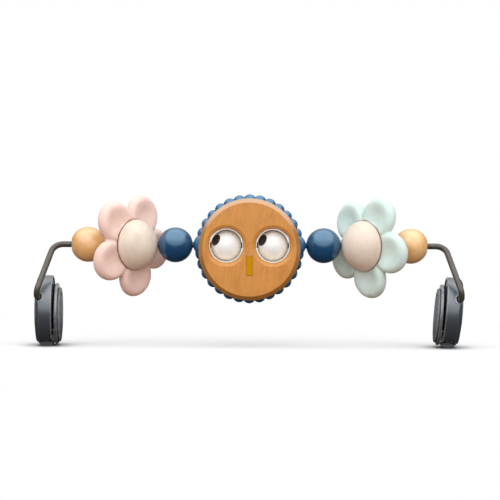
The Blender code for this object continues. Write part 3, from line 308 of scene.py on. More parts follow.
def softened(corners, steps=5):
    """An outline whose corners, given as (radius, along, rounding), are rounded off by arcs."""
    points = []
    for index, (radius, along, rounding) in enumerate(corners):
        here = Vector((radius, along))
        if not rounding:
            points.append(here)
            continue
        before = (Vector(corners[index - 1][:2]) - here).normalized()
        after = (Vector(corners[(index + 1) % len(corners)][:2]) - here).normalized()
        half = before.angle(after) / 2
        centre = here + (before + after).normalized() * rounding / math.sin(half)
        start = here + before * rounding / math.tan(half) - centre
        end = here + after * rounding / math.tan(half) - centre
        first = math.atan2(start.y, start.x)
        swing = (math.atan2(end.y, end.x) - first + math.pi) % math.tau - math.pi
        for step in range(steps + 1):
            angle = first + swing * step / steps
            points.append(centre + Vector((math.cos(angle), math.sin(angle))) * rounding)
    return points


def spun(outline, steps):
    """An outline of (radius, along) points spun round Z by a quarter, and then its three copies."""
    shape = bmesh.new()
    points = [shape.verts.new((radius, 0, along)) for radius, along in outline]
    pairs = list(zip(points, points[1:]))
    if outline[0][0] > 0:
        pairs.append((points[-1], points[0]))
    quarter = {"cent": (0, 0, 0), "axis": (0, 0, 1)}
    edges = [shape.edges.new(pair) for pair in pairs]
    bmesh.ops.spin(shape, geom=points + edges, angle=math.tau / 4, steps=steps // 4, **quarter)
    geometry = shape.verts[:] + shape.edges[:] + shape.faces[:]
    bmesh.ops.spin(
        shape, geom=geometry, angle=math.tau * 3 / 4, steps=3, use_duplicate=True, **quarter
    )
    bmesh.ops.remove_doubles(shape, verts=shape.verts, dist=MERGE)
    bmesh.ops.recalc_face_normals(shape, faces=shape.faces)
    return shape


def washer(inner, outer, low, high, rounding, steps, arc_steps=5):
    """A spun ring, or a disc where there is no inner radius, with rounded edges."""
    inner_rounding = rounding if inner else 0
    corners = [
        (inner, low, inner_rounding), (outer, low, rounding),
        (outer, high, rounding), (inner, high, inner_rounding),
    ]
    return spun(softened(corners, arc_steps), steps)


def placed_mesh(name, shape, place):
    """The mesh of a shape that is moved to its place and used up."""
    bmesh.ops.transform(shape, matrix=place, verts=shape.verts)
    bmesh.ops.recalc_face_normals(shape, faces=shape.faces)
    mesh = bpy.data.meshes.new(name)
    shape.to_mesh(mesh)
    shape.free()
    return mesh


def shade(mesh):
    mesh.shade_smooth()
    mesh.set_sharp_from_angle(angle=SMOOTH_ANGLE)


def add_piece(name, shape, place, finish, body, node):
    """A finished piece in its place, on the body it moves with, standing for its plain solid."""
    mesh = placed_mesh(name, shape, place)
    shade(mesh)
    mesh.materials.append(finish)
    piece = add_object(name, mesh)
    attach(piece, body)
    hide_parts(node)
    return piece


def even_flats(piece):
    """Keeps the shading of flat faces flat up to the roundings beside them."""
    weights = piece.modifiers.new("even_flats", "WEIGHTED_NORMAL")
    weights.keep_sharp = True
    weights.weight = FLAT_WEIGHT


def dress_node(name, finish):
    """Gives a plain solid that stays a better material."""
    frame["nodes"][name].data.materials.clear()
    frame["nodes"][name].data.materials.append(finish)


steel = skinned(
    "bright_steel", STEEL_COLOURS, STEEL_GRAIN, roughness=(0.22, 0.4), patches=(0.4, 0.6),
    Metallic=1.0,
)
SIDES = (("left", -1), ("right", 1))
ALONG_BAR = Matrix.Rotation(math.radians(90), 4, "Y")
for side_name, side in SIDES:
    node = side_name + "_stop_ring"
    low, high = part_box(node)
    reach = RING_THICKNESS / 2
    add_piece(
        side_name + "_grip_ring",
        washer(BAR_RADIUS + GAP, RING_RADIUS, -reach, reach, RING_ROUNDING, steps=64),
        Matrix.Translation((low + high) / 2) @ ALONG_BAR, steel, "bar", node,
    )
    dress_node(side_name + "_push_nut", steel)


# The beads are turned from beech and bored along the bar. The pair beside the face is stained
# and lacquered a deep blue, and the pair at the ends is only oiled.
BEAD_RADIUS = 0.0175
BORE_RADIUS = 0.0035
BORE_LIP = 0.0005
COUNTERBORE_RADIUS = 0.0053
COUNTERBORE_DEPTH = 0.0029
BEAD_STEPS = 112
BEAD_ARC_STEPS = 44
LACQUER_COLOURS = ((0.002, 0.048, 0.145, 1), (0.003, 0.060, 0.170, 1))
LACQUER_GLOSS_COLOUR = (0.54, 0.88, 1.0, 1)
LACQUER_WORN_COLOUR = (0.045, 0.15, 0.28, 1)
LACQUER_GRAIN = (0.0005, 0.000014, 0.006)
STREAK_LENGTH = 1 / 0.09    # in widths
FLECK_LENGTH = 1 / 0.22
OILED_COLOURS = ((0.86, 0.41, 0.085, 1), (0.90, 0.60, 0.28, 1), (0.64, 0.23, 0.035, 1))


def build_wood_group():
    """Beech with its grain along z: long streaks and short flecks."""
    group, inlet, outlet = new_group(
        "beech", {"Place": (0.0, 0.0, 0.0), "Streak Size": 0.0025, "Fleck Size": 0.0007},
        {"Streaks": 0.0, "Flecks": 0.0, "Height": 0.0},
    )
    drawn_out, short = (
        add_node(
            group, "Mapping", Vector=inlet["Place"], Scale=(1, 1, 1 / length)
        ).outputs["Vector"]
        for length in (STREAK_LENGTH, FLECK_LENGTH)
    )
    size = inlet["Streak Size"]
    streaks = noise(drawn_out, size, Detail=6.0, Roughness=0.62, Distortion=0.4)
    scale = calculate("DIVIDE", 1, inlet["Fleck Size"])
    cells = add_node(
        group, "TexVoronoi", {"feature": "F1"}, Vector=short, Scale=scale, Randomness=1.0
    )
    flecks = remap(cells.outputs["Distance"], 0.12, 0.34, 1.0, 0.0)
    sparse = add_node(group, "TexNoise", Vector=drawn_out, Detail=2.0, Scale=170.0)
    where = remap(sparse.outputs["Fac"], 0.42, 0.62, 0.1)
    thinned = calculate("MULTIPLY", flecks, where)
    height = calculate("MULTIPLY_ADD", thinned, -0.5, streaks)
    set_inputs(outlet, Streaks=streaks, Flecks=thinned, Height=height)
    return group


beech = build_wood_group()


def wooden(name, colours, turn, sizes, depth, roughness, **inputs):
    """Beech, turned, in its plain colour, a lighter one and one of flecks, and its shader.

    The sizes are those of the streaks and of the flecks.
    """
    finish, shader = new_finish(name, **inputs)
    tree = finish.node_tree
    grain = add_node(tree, "Mapping", Vector=object_place(tree), Rotation=turn).outputs["Vector"]
    wood = use_group(tree, beech, Place=grain, Streak_Size=sizes[0], Fleck_Size=sizes[1])
    tone = use_group(tree, skin, Grain_Size=0.0005, Grain_Depth=0.0, Mottle_Size=0.02)["Mottle"]
    plain, light, fleck = colours
    bump = add_node(tree, "Bump", Strength=1.0, Distance=depth, Height=wood["Height"])
    set_inputs(
        shader, Base_Color=mix_colours(remap(wood["Streaks"], 0.34, 0.66), plain, light),
        Roughness=remap(wood["Streaks"], 0.3, 0.7, *roughness), Normal=bump.outputs["Normal"],
    )
    for mask, low, high, share, colour in (
        (tone, 0.5, 0.66, 0.4, light),
        (tone, 0.5, 0.34, 0.3, fleck),
        (wood["Flecks"], 0.0, 1.0, 0.7, fleck),
    ):
        tint(shader, remap(mask, low, high, 0.0, share), colour)
    return finish, shader


def blue_lacquer(name, colours, gloss, coat):
    return skinned(
        name, colours, LACQUER_GRAIN, roughness=(0.24, 0.3), patches=(0.35, 0.7),
        edge_wear_and_highlight=(LACQUER_WORN_COLOUR, 0.09, 0.002), Specular_Tint=LACQUER_GLOSS_COLOUR,
        Specular_IOR_Level=gloss, IOR=1.7, Coat_Weight=coat, Coat_Roughness=0.14,
    )


def arc(centre, radius, first, last, steps):
    angles = [first + (last - first) * step / steps for step in range(steps + 1)]
    return [(centre[0] + radius * math.cos(a), centre[1] + radius * math.sin(a)) for a in angles]


def bead_outline(radius, inner_bore, outer_bore):
    """A bored ball: its outer arc between the two mouths, with a small lip at each."""
    ends = []
    for bore, side in ((outer_bore, 1), (inner_bore, -1)):
        angle = side * math.acos((bore + BORE_LIP) / radius)
        mouth = radius * math.sin(angle) - side * BORE_LIP
        lip = [
            (bore + BORE_LIP * (1 - share) ** 2, mouth + side * BORE_LIP * (1 - share**2))
            for share in (0.25, 0.6)
        ]
        ends.append((angle, lip + [(bore, mouth)]))
    (first, outer_lip), (last, inner_lip) = ends
    return outer_lip[::-1] + arc((0, 0), radius, first, last, BEAD_ARC_STEPS) + inner_lip


lacquer = blue_lacquer("blue_lacquer", LACQUER_COLOURS, gloss=1.0, coat=0.35)
oiled = wooden(
    "oiled_beech", OILED_COLOURS, turn=(0, math.radians(80), math.radians(15)),
    sizes=(0.0011, 0.0007), depth=0.00008, roughness=(0.5, 0.6), Specular_IOR_Level=0.9,
    Coat_Weight=1.0, Coat_Roughness=0.38, Coat_IOR=1.85,
)[0]
blue_outline = bead_outline(BEAD_RADIUS, BORE_RADIUS, BORE_RADIUS)
counterbore_end = math.sqrt(BEAD_RADIUS**2 - COUNTERBORE_RADIUS**2) - COUNTERBORE_DEPTH
end_outline = bead_outline(BEAD_RADIUS, BORE_RADIUS, COUNTERBORE_RADIUS)
end_outline += [(BORE_RADIUS, counterbore_end), (COUNTERBORE_RADIUS, counterbore_end)]
for side_name, side in SIDES:
    outwards = Matrix.Rotation(math.radians(90) * side, 4, "Y")
    for kind, outline, name, finish, slot in (
        ("_blue_bead", blue_outline, "_lacquered_bead", lacquer, "blue_lacquer"),
        ("_end_bead", end_outline, "_oiled_bead", oiled, "natural_wood"),
    ):
        node = side_name + kind
        place = Matrix.Translation(anchors[node + "_spin"]) @ outwards
        add_piece(side_name + name, spun(outline, BEAD_STEPS), place, finish, node, node)


# Each flower is a beech ball in two halves, white-oiled, that clamp a moulded silicone ring of
# five dished petals. Two dowels glue the halves together.
BALL_RADIUS = 0.026
SEAM_OFFSET = 0.0047
SEAM_ROUNDING = 0.0007
FLOWER_TURN = math.radians(47)
HALF_BALL_ARC_STEPS = 40
BORE_FLARE = 0.0007
BORE_STEPS = 48
HUB_BORE_SHARE = 0.97
PETAL_COUNT = 5
PETAL_CENTRE_REACH = 0.0322
PETAL_RADIUS = 0.0202
PETAL_BLEND_SHARE = 0.05
RIM_HALF_THICKNESS = 0.0054
DISH_HALF_THICKNESS = 0.0024
DISH_EDGE_SHARE = 0.1
RIM_CREST_SHARE = 0.76
PETAL_LEAN_BACK = 0.003
PETAL_STEPS = 84
PETAL_STATIONS = 30
PETAL_STATION_POWER = 1.8   # crowds them near the edge
FIRST_PETALS = {"pink": math.radians(63.4), "mint": math.radians(61)}
WHITE_OIL_COLOURS = ((0.73, 0.63, 0.53, 1), (0.78, 0.69, 0.59, 1), (0.54, 0.41, 0.32, 1))
SEAM_COLOUR = (0.24, 0.105, 0.05, 1)
SEAM_LINE = 0.0021
PETAL_COLOURS = {
    "pink": ((0.82, 0.60, 0.53, 1), (0.86, 0.66, 0.59, 1)),
    "mint": ((0.605, 0.755, 0.72, 1), (0.66, 0.80, 0.77, 1)),
}
SILICONE_GRAIN = (0.0005, 0.00002, 0.012)
DOWEL_COLOURS = ((0.62, 0.42, 0.22, 1), (0.70, 0.52, 0.30, 1), (0.45, 0.28, 0.14, 1))


def white_oiled_beech(name, centre, facing):
    """Beech with a fine dark line at the seam, which lies across the flower's axis."""
    finish, shader = wooden(
        name, WHITE_OIL_COLOURS, turn=(math.radians(12), math.radians(8), 0),
        sizes=(0.0008, 0.00055), depth=0.00006, roughness=(0.58, 0.7), Specular_IOR_Level=0.3,
    )
    tree = finish.node_tree
    local = add_node(
        tree, "Mapping", {"vector_type": "TEXTURE"},
        Vector=object_place(tree), Location=centre, Rotation=facing,
    )
    along = add_node(tree, "SeparateXYZ", Vector=local.outputs["Vector"])
    away = calculate("ABSOLUTE", along.outputs["Z"])
    tint(shader, remap(away, SEAM_OFFSET + SEAM_LINE, SEAM_OFFSET + SEAM_LINE / 2), SEAM_COLOUR)
    return finish


def petal_share(radius, angle):
    """How far out a point is, from a petal's middle, 0, to its edge, 1. The petals run together."""
    spread = math.tau / PETAL_COUNT
    nearest = (angle + spread / 2) % spread - spread / 2
    total = 0
    for off in (nearest - spread, nearest, nearest + spread):
        across = radius * math.sin(off)
        along = radius * math.cos(off) - PETAL_CENTRE_REACH
        total += math.exp(-math.hypot(across, along) / PETAL_RADIUS / PETAL_BLEND_SHARE)
    return -PETAL_BLEND_SHARE * math.log(total)


def petal_edge(angle):
    """How far the petals reach at an angle, found by halving."""
    low, high = PETAL_CENTRE_REACH * 0.6, PETAL_CENTRE_REACH + PETAL_RADIUS * 1.2
    for halving in range(24):
        middle = (low + high) / 2
        if petal_share(middle, angle) < 1:
            low = middle
        else:
            high = middle
    return low


def petal_half_thickness(share):
    """Thin in the dish, thick at the crest of the rim, and rounded off to the edge."""
    rise = RIM_HALF_THICKNESS - DISH_HALF_THICKNESS
    if share < RIM_CREST_SHARE:
        climb = max(0, (share - DISH_EDGE_SHARE) / (RIM_CREST_SHARE - DISH_EDGE_SHARE))
        return DISH_HALF_THICKNESS + rise * climb * climb * (3 - 2 * climb)
    fall = (share - RIM_CREST_SHARE) / (1 - RIM_CREST_SHARE)
    return RIM_HALF_THICKNESS * math.sqrt(max(0, 1 - fall * fall))


def petal_ring():
    """A hub and a ring of stations spun round, which move to the petals' edge and thickness."""
    hub = (math.sqrt(BALL_RADIUS**2 - SEAM_OFFSET**2) - GAP, SEAM_OFFSET - GAP)
    start = BALL_RADIUS + GAP
    shares = [
        1 - (1 - step / PETAL_STATIONS) ** PETAL_STATION_POWER for step in range(PETAL_STATIONS)
    ]
    front = [(0, hub[1]), hub] + [(1 + share, 1) for share in shares]
    back = [(radius, -along) for radius, along in reversed(front)]
    shape = spun(front + [(2, 0)] + back, PETAL_COUNT * PETAL_STEPS)
    edges = {}
    for point in shape.verts:
        reach = math.hypot(point.co.x, point.co.y)
        if reach < 0.9:
            continue
        angle = math.atan2(point.co.y, point.co.x)
        key = round(angle, 5)
        if key not in edges:
            edges[key] = petal_edge(angle)
        radius = start + (edges[key] - start) * (reach - 1)
        half = petal_half_thickness(petal_share(radius, angle)) * round(point.co.z)
        lean_share = (radius - start) / (PETAL_CENTRE_REACH + PETAL_RADIUS - start)
        height = half - PETAL_LEAN_BACK * lean_share**2
        point.co = (radius * math.cos(angle), radius * math.sin(angle), height)
    return shape


def aimed(line):
    """The turn that takes Z to a line."""
    return line.to_track_quat("Z", "Y").to_matrix().to_4x4()


def rod(radius, start, end, steps, flare=0):
    """A cylinder from one point to another, widened at both ends by a flare."""
    length = (end - start).length
    outline = [(0, 0), (radius + flare, 0), (radius, flare), (radius, length - flare)]
    outline += [(radius + flare, length), (0, length)]
    if not flare:
        outline = [(0, 0), (radius, 0), (radius, length), (0, length)]
    shape = spun(outline, steps)
    place = Matrix.Translation(start) @ aimed(end - start)
    bmesh.ops.transform(shape, matrix=place, verts=shape.verts)
    return shape


def combine(piece, shape, place, operation="DIFFERENCE"):
    """Cuts a shape out of a piece, or joins it on, for good."""
    tool = add_object("tool", placed_mesh("tool", shape, place))
    step = piece.modifiers.new("combine", "BOOLEAN")
    step.object = tool
    step.operation = operation
    step.solver = "EXACT"
    graph = bpy.context.evaluated_depsgraph_get()
    combined = bpy.data.meshes.new_from_object(piece.evaluated_get(graph))
    piece.modifiers.remove(step)
    spent = [tool.data, piece.data]
    piece.data = combined
    combined.name = piece.name
    shade(combined)
    bpy.data.objects.remove(tool)
    for mesh in spent:
        bpy.data.meshes.remove(mesh)


def set_in_place(piece, place):
    """Moves a piece that was made about the origin to its place, also to a mirrored one."""
    piece.data.transform(place)
    if place.is_negative:
        piece.data.flip_normals()


dowel_beech = wooden(
    "dowel_beech", DOWEL_COLOURS, turn=(math.radians(90), 0, 0), sizes=(0.0012, 0.0006),
    depth=0.00008, roughness=(0.6, 0.75), Specular_IOR_Level=0.3,
)[0]
first_angle = math.asin((SEAM_OFFSET + SEAM_ROUNDING) / BALL_RADIUS)
seam_reach = math.sqrt(BALL_RADIUS**2 - SEAM_OFFSET**2) - SEAM_ROUNDING
seam_centre = (seam_reach, SEAM_OFFSET + SEAM_ROUNDING)
half_outline = [(0, SEAM_OFFSET)] + arc(seam_centre, SEAM_ROUNDING, -math.pi / 2, 0, 5)
half_outline += arc((0, 0), BALL_RADIUS, first_angle, math.pi / 2, HALF_BALL_ARC_STEPS)[1:]
bar_bore = Vector((BALL_RADIUS + GAP, 0, 0))
for name, side in (("pink", -1), ("mint", 1)):
    body = name + "_flower"
    spot = anchors[body + "_spin"]
    centre = Matrix.Translation(spot)
    angles = Euler((math.radians(90), 0, -side * FLOWER_TURN))
    place = centre @ angles.to_matrix().to_4x4()
    white_oiled = white_oiled_beech(name + "_white_oiled_beech", spot, angles)
    for label, front in (("front", 1), ("back", -1)):
        half = spun([(radius, along * front) for radius, along in half_outline], BEAD_STEPS)
        node = f"{body}_{label}_half"
        piece = add_piece(
            f"{name}_ball_{label}", half, place, white_oiled, body, node
        )
        combine(piece, rod(BORE_RADIUS, -bar_bore, bar_bore, BORE_STEPS, BORE_FLARE), centre)
    silicone = skinned(
        name + "_silicone", PETAL_COLOURS[name], SILICONE_GRAIN, roughness=(0.6, 0.72),
        Specular_IOR_Level=0.08, Subsurface_Weight=0.3, Subsurface_Scale=0.004,
        Subsurface_Radius=(1.0, 0.6, 0.5),
    )
    turned = Matrix.Rotation(FIRST_PETALS[name], 4, "Z")
    petals = add_piece(
        name + "_petals", petal_ring(), place @ turned, silicone, body,
        name + "_petal_ring",
    )
    hub_bore = bar_bore * HUB_BORE_SHARE
    combine(petals, rod(BORE_RADIUS, -hub_bore, hub_bore, BORE_STEPS), centre)
    for label in ("lower", "upper"):
        dress_node(f"{body}_{label}_dowel", dowel_beech)


# The face is two thick beech discs with chamfered rims, dowelled together over a blue disc whose
# edge is turned into thirty pearls. The eye holes are countersunk and lined with white plastic.
DISC_RADIUS = 0.0508
DISC_BACK = 0.0073
DISC_FRONT = 0.019
DISC_CHAMFER_WIDTH = 0.0041
DISC_CHAMFER_DEPTH = 0.0034
DISC_CHAMFER_ROUNDING = 0.0006
DISC_EDGE_ROUNDING = 0.0007
DISC_DROP = 0.0036
DISC_STEPS = 208
PEARL_COUNT = 30
PEARL_STEPS = 14
PEARL_RADIUS = 0.0066
PEARL_PEAK_RADIUS = 0.0546
PEARL_DISC_HALF_THICKNESS = 0.007
PEARL_CORE_RADIUS = 0.0485
PEARL_FLAT_RADIUS = 0.04365
PEARL_ARC_STEPS = 22
BOSS_RADIUS = 0.0115
BOSS_REACH = 0.0563
BOSS_ROUNDING = 0.0045
EYE_REACH = 0.0232
EYE_HOLE_RADIUS = 0.0173
EYE_CHAMFER_WIDTH = 0.0037
EYE_CHAMFER_DEPTH = 0.0032
EYE_CHAMFER_ROLL = 0.0022
EYE_CHAMFER_FOOT_ROUNDING = 0.00048
EYE_SLOPE_SHARES = (0.72, 0.93)
LINER_WALL = 0.0008
LINER_BAR_HOLE_RADIUS = 0.004
LINER_LIP = 0.0004
LINER_ROUNDING = 0.00032
LINER_INSIDE_COLOUR = (0.94, 0.77, 0.60, 1)
BEAK_WIDTH = 0.0059
BEAK_HEIGHT = 0.019
BEAK_DROP = 0.0199
BEAK_DEPTH = 0.0014
BEAK_PROUD = 0.0002
BEAK_ROUNDING = 0.00015
PEARL_COLOURS = ((0.012, 0.100, 0.250, 1), (0.018, 0.120, 0.285, 1))
FACE_WOOD_COLOURS = ((0.570, 0.224, 0.026, 1), (0.67, 0.30, 0.056, 1), (0.41, 0.135, 0.014, 1))
FACE_RIM_SHADE_COLOUR = (0.28, 0.12, 0.011, 1)
RIM_SHADE_SHARE = 0.6
MUSTARD_COLOURS = ((0.578, 0.268, 0.0, 1), (0.54, 0.25, 0.0, 1))
MUSTARD_GRAIN = (0.0004, 0.00003, 0.006)
WHITE_COLOURS = ((0.90, 0.935, 0.945, 1), (0.88, 0.915, 0.925, 1))
WHITE_GRAIN = (0.0008, 0.000008, 0.006)


def honey_beech():
    """Stained beech. The rim is painted darker all round, as painted shade, and its varnish is
    thicker.
    """
    finish, shader = wooden(
        "honey_beech", FACE_WOOD_COLOURS, turn=(0, math.radians(-9), 0), sizes=(0.0013, 0.0006),
        depth=0.00007, roughness=(0.4, 0.5), Specular_IOR_Level=0.4, Coat_Roughness=0.22,
        Coat_IOR=2.15,
    )
    tree = finish.node_tree
    back_to_middle = Vector((0, 0, DISC_DROP)) - anchors["face_spin"]
    place = add_node(tree, "Mapping", Vector=object_place(tree), Location=back_to_middle)
    flat = add_node(tree, "VectorMath", {"operation": "MULTIPLY"}, Vector=place.outputs["Vector"])
    flat.inputs[1].default_value = (1, 0, 1)
    out = add_node(tree, "VectorMath", {"operation": "LENGTH"}, Vector=flat.outputs["Vector"])
    rim_start = DISC_RADIUS - DISC_CHAMFER_WIDTH
    rim_end = rim_start + DISC_CHAMFER_ROUNDING
    # Painted shade: the chamfered rim is darkened all round.
    rim = remap(out.outputs["Value"], rim_start, rim_end, 0.0, RIM_SHADE_SHARE)
    tint(shader, rim, FACE_RIM_SHADE_COLOUR)
    set_inputs(shader, Coat_Weight=remap(rim, 0.0, RIM_SHADE_SHARE, 0.2))
    return finish


def tan_inside(finish):
    """Gives the liners a tan colour past their white lips."""
    tree = finish.node_tree
    spot = add_node(tree, "SeparateXYZ", Vector=object_place(tree))
    off = calculate("SUBTRACT", spot.outputs["Y"], anchors["face_spin"].y)
    lip_start = DISC_FRONT - EYE_CHAMFER_DEPTH - LINER_LIP
    inside = remap(calculate("ABSOLUTE", off), lip_start, lip_start - LINER_LIP / 2)
    tint(tree.nodes["Principled BSDF"], inside, LINER_INSIDE_COLOUR)


def pearl_disc():
    """A disc spun from a plain outline, whose rim then swells into pearls and two bosses."""
    half = PEARL_DISC_HALF_THICKNESS
    flat = PEARL_FLAT_RADIUS
    angles = [math.pi * (step / PEARL_ARC_STEPS - 0.5) for step in range(PEARL_ARC_STEPS + 1)]
    rim = [(1, half * math.sin(angle)) for angle in angles]
    outline = [(0, -half), (flat, -half)] + rim + [(flat, half), (0, half)]
    shape = spun(outline, PEARL_COUNT * PEARL_STEPS)
    pitch = math.tau / PEARL_COUNT
    pearl_centre = PEARL_PEAK_RADIUS - PEARL_RADIUS
    boss_centre = Vector((BOSS_REACH - BOSS_RADIUS, DISC_DROP))
    for point in shape.verts:
        if math.hypot(point.co.x, point.co.y) < 0.75:
            continue
        height = point.co.z
        angle = math.atan2(point.co.y, point.co.x)
        off = (angle - math.pi / 2 + pitch / 2) % pitch - pitch / 2
        across = pearl_centre * math.sin(off)
        up = height / half * PEARL_RADIUS
        swell = math.sqrt(max(0, PEARL_RADIUS**2 - across**2 - up**2))
        radius = max(PEARL_CORE_RADIUS, pearl_centre * math.cos(off) + swell)
        ray = Vector((abs(math.cos(angle)), math.sin(angle)))
        along = ray.dot(boss_centre)
        rounded = BOSS_RADIUS - BOSS_ROUNDING * (1 - math.sqrt(max(0, 1 - (height / half) ** 4)))
        miss = boss_centre.length_squared - along**2
        if along > 0 and miss < rounded**2:
            radius = max(radius, along + math.sqrt(rounded**2 - miss))
        point.co = (radius * math.cos(angle), radius * math.sin(angle), height)
    return shape


def face_disc():
    outline = softened([
        (0, DISC_BACK, 0),
        (DISC_RADIUS, DISC_BACK, DISC_EDGE_ROUNDING),
        (DISC_RADIUS, DISC_FRONT - DISC_CHAMFER_DEPTH, DISC_CHAMFER_ROUNDING),
        (DISC_RADIUS - DISC_CHAMFER_WIDTH, DISC_FRONT, DISC_CHAMFER_ROUNDING),
        (0, DISC_FRONT, 0),
    ])
    return spun(outline, DISC_STEPS)


def eye_cutter(side):
    """The hole for an eye: straight, then a countersink that rolls over into the front."""
    foot = DISC_FRONT - EYE_CHAMFER_DEPTH
    slope_end = EYE_HOLE_RADIUS + EYE_CHAMFER_WIDTH * EYE_SLOPE_SHARES[0]
    outside = EYE_HOLE_RADIUS + EYE_CHAMFER_WIDTH + OVERRUN * 2
    low = DISC_BACK - GAP - OVERRUN
    outline = softened([
        (0, low, 0),
        (EYE_HOLE_RADIUS, low, 0),
        (EYE_HOLE_RADIUS, foot, EYE_CHAMFER_FOOT_ROUNDING),
        (slope_end, foot + EYE_CHAMFER_DEPTH * EYE_SLOPE_SHARES[1], EYE_CHAMFER_ROLL),
        (outside, DISC_FRONT + OVERRUN / 3, 0),
        (outside, DISC_FRONT + OVERRUN, 0),
        (0, DISC_FRONT + OVERRUN, 0),
    ])
    shape = spun(outline, steps=144)
    bmesh.ops.translate(shape, verts=shape.verts, vec=(side * EYE_REACH, 0, 0))
    return shape


def block(low, high, rounding=0):
    """A box between two corners, with its edges rounded off."""
    shape = bmesh.new()
    size = Matrix.Diagonal((*(high - low), 1))
    bmesh.ops.create_cube(shape, size=1, matrix=Matrix.Translation((low + high) / 2) @ size)
    if rounding:
        bmesh.ops.bevel(
            shape, geom=shape.edges, offset=rounding, affect="EDGES", segments=3, profile=0.5,
            material=-1,
        )
    return shape


face_turn = Matrix.Rotation(math.radians(90), 4, "X")
face_place = Matrix.Translation(anchors["face_spin"]) @ face_turn
disc_place = face_place @ Matrix.Translation((0, -DISC_DROP, 0))
half_turn = Matrix.Rotation(math.pi, 4, "Y")
honey = honey_beech()
pearl_lacquer = blue_lacquer("pearl_lacquer", PEARL_COLOURS, gloss=0.8, coat=0.15)
white, lined = (
    skinned(name, WHITE_COLOURS, WHITE_GRAIN, roughness=(0.3, 0.38), Specular_IOR_Level=0.4)
    for name in ("white_plastic", "liner_plastic")
)
tan_inside(lined)
mustard = skinned(
    "mustard_paint", MUSTARD_COLOURS, MUSTARD_GRAIN, roughness=(0.7, 0.8), Specular_IOR_Level=0.05
)
beak_low = Vector((-BEAK_WIDTH / 2, -BEAK_DROP - BEAK_HEIGHT / 2, DISC_FRONT - BEAK_DEPTH))
beak_high = Vector((BEAK_WIDTH / 2, -BEAK_DROP + BEAK_HEIGHT / 2, DISC_FRONT + BEAK_PROUD))

for label, turn in (("front", HERE), ("back", half_turn)):
    disc = add_piece(
        f"beech_{label}_disc", face_disc(), disc_place @ turn, honey, "face",
        f"face_{label}_disc",
    )
    for side in (-1, 1):
        combine(disc, eye_cutter(side), face_place @ turn)
    if label == "front":
        seat = block(beak_low - Vector((GAP, GAP, GAP)), beak_high + Vector((GAP, GAP, OVERRUN)))
        combine(disc, seat, face_place)
    even_flats(disc)

pearls = add_piece(
    "pearl_disc", pearl_disc(), disc_place, pearl_lacquer, "face",
    "face_scalloped_disc",
)
for side in (-1, 1):
    across = Vector((side * EYE_REACH, 0, 0))
    deep = Vector((0, 0, PEARL_DISC_HALF_THICKNESS + OVERRUN))
    combine(pearls, rod(EYE_HOLE_RADIUS, across - deep, across + deep, steps=96), face_place)
bore_end = Vector((BOSS_REACH + BORE_FLARE / 2, 0, 0))
combine(pearls, rod(BORE_RADIUS, -bore_end, bore_end, BORE_STEPS, BORE_FLARE), face_place)
even_flats(pearls)

beak = add_piece(
    "inlaid_beak", block(beak_low, beak_high, BEAK_ROUNDING), face_place, mustard, "face",
    "face_beak",
)
even_flats(beak)

liner_outer = EYE_HOLE_RADIUS - GAP
liner_inner = liner_outer - LINER_WALL
liner_half = DISC_FRONT - EYE_CHAMFER_DEPTH
reach = Vector((liner_outer + OVERRUN, 0, 0))
for side_name, side in SIDES:
    eye_place = face_place @ Matrix.Translation((side * EYE_REACH, 0, 0))
    liner = add_piece(
        side_name + "_liner",
        washer(liner_inner, liner_outer, -liner_half, liner_half, LINER_ROUNDING, steps=128),
        eye_place, lined, "face", side_name + "_eye_liner",
    )
    combine(liner, rod(LINER_BAR_HOLE_RADIUS, -reach, reach, steps=40), eye_place)
for index in (1, 2, 3):
    dress_node(f"face_dowel_{index}", dowel_beech)


# Each eye is a glossy white ball that rolls on the bar, with a black pupil let into it flush.
EYE_BALL_RADIUS = 0.0156
PUPIL_RADIUS = 0.0058
PUPIL_DEPTH = 0.0018
PUPIL_DIRECTION = Vector((-0.71, -0.60, 0.37)).normalized()
PUPIL_JOINT = 0.00012
PUPIL_STEPS = 72
BLACK_COLOURS = ((0.004, 0.004, 0.005, 1), (0.009, 0.009, 0.010, 1))
BLACK_GRAIN = (0.0008, 0.000006, 0.006)

black = skinned(
    "black_plastic", BLACK_COLOURS, BLACK_GRAIN, roughness=(0.16, 0.22), Specular_IOR_Level=1.0
)
ball_outline = bead_outline(EYE_BALL_RADIUS, BORE_RADIUS, BORE_RADIUS)
seat_depth = math.sqrt(EYE_BALL_RADIUS**2 - PUPIL_RADIUS**2) - PUPIL_DEPTH
seat_low = PUPIL_DIRECTION * seat_depth
seat_high = PUPIL_DIRECTION * (EYE_BALL_RADIUS + OVERRUN)
cap_start = math.pi / 2 - math.asin(PUPIL_RADIUS / EYE_BALL_RADIUS)
cap = arc((0, 0), EYE_BALL_RADIUS, cap_start, math.pi / 2, 12)[:-1] + [(0, EYE_BALL_RADIUS)]
plug = [(0, seat_depth + GAP), (PUPIL_RADIUS, seat_depth + GAP)] + cap
for side_name in ("left", "right"):
    body = side_name + "_eye"
    centre = Matrix.Translation(anchors[body + "_roll"])
    ball = add_piece(
        side_name + "_ball", spun(ball_outline, steps=128), centre @ ALONG_BAR, white, body,
        body + "_ball",
    )
    combine(ball, rod(PUPIL_RADIUS + PUPIL_JOINT, seat_low, seat_high, PUPIL_STEPS), centre)
    add_piece(
        side_name + "_pupil", spun(plug, PUPIL_STEPS), centre @ aimed(PUPIL_DIRECTION), black,
        body, body + "_pupil",
    )


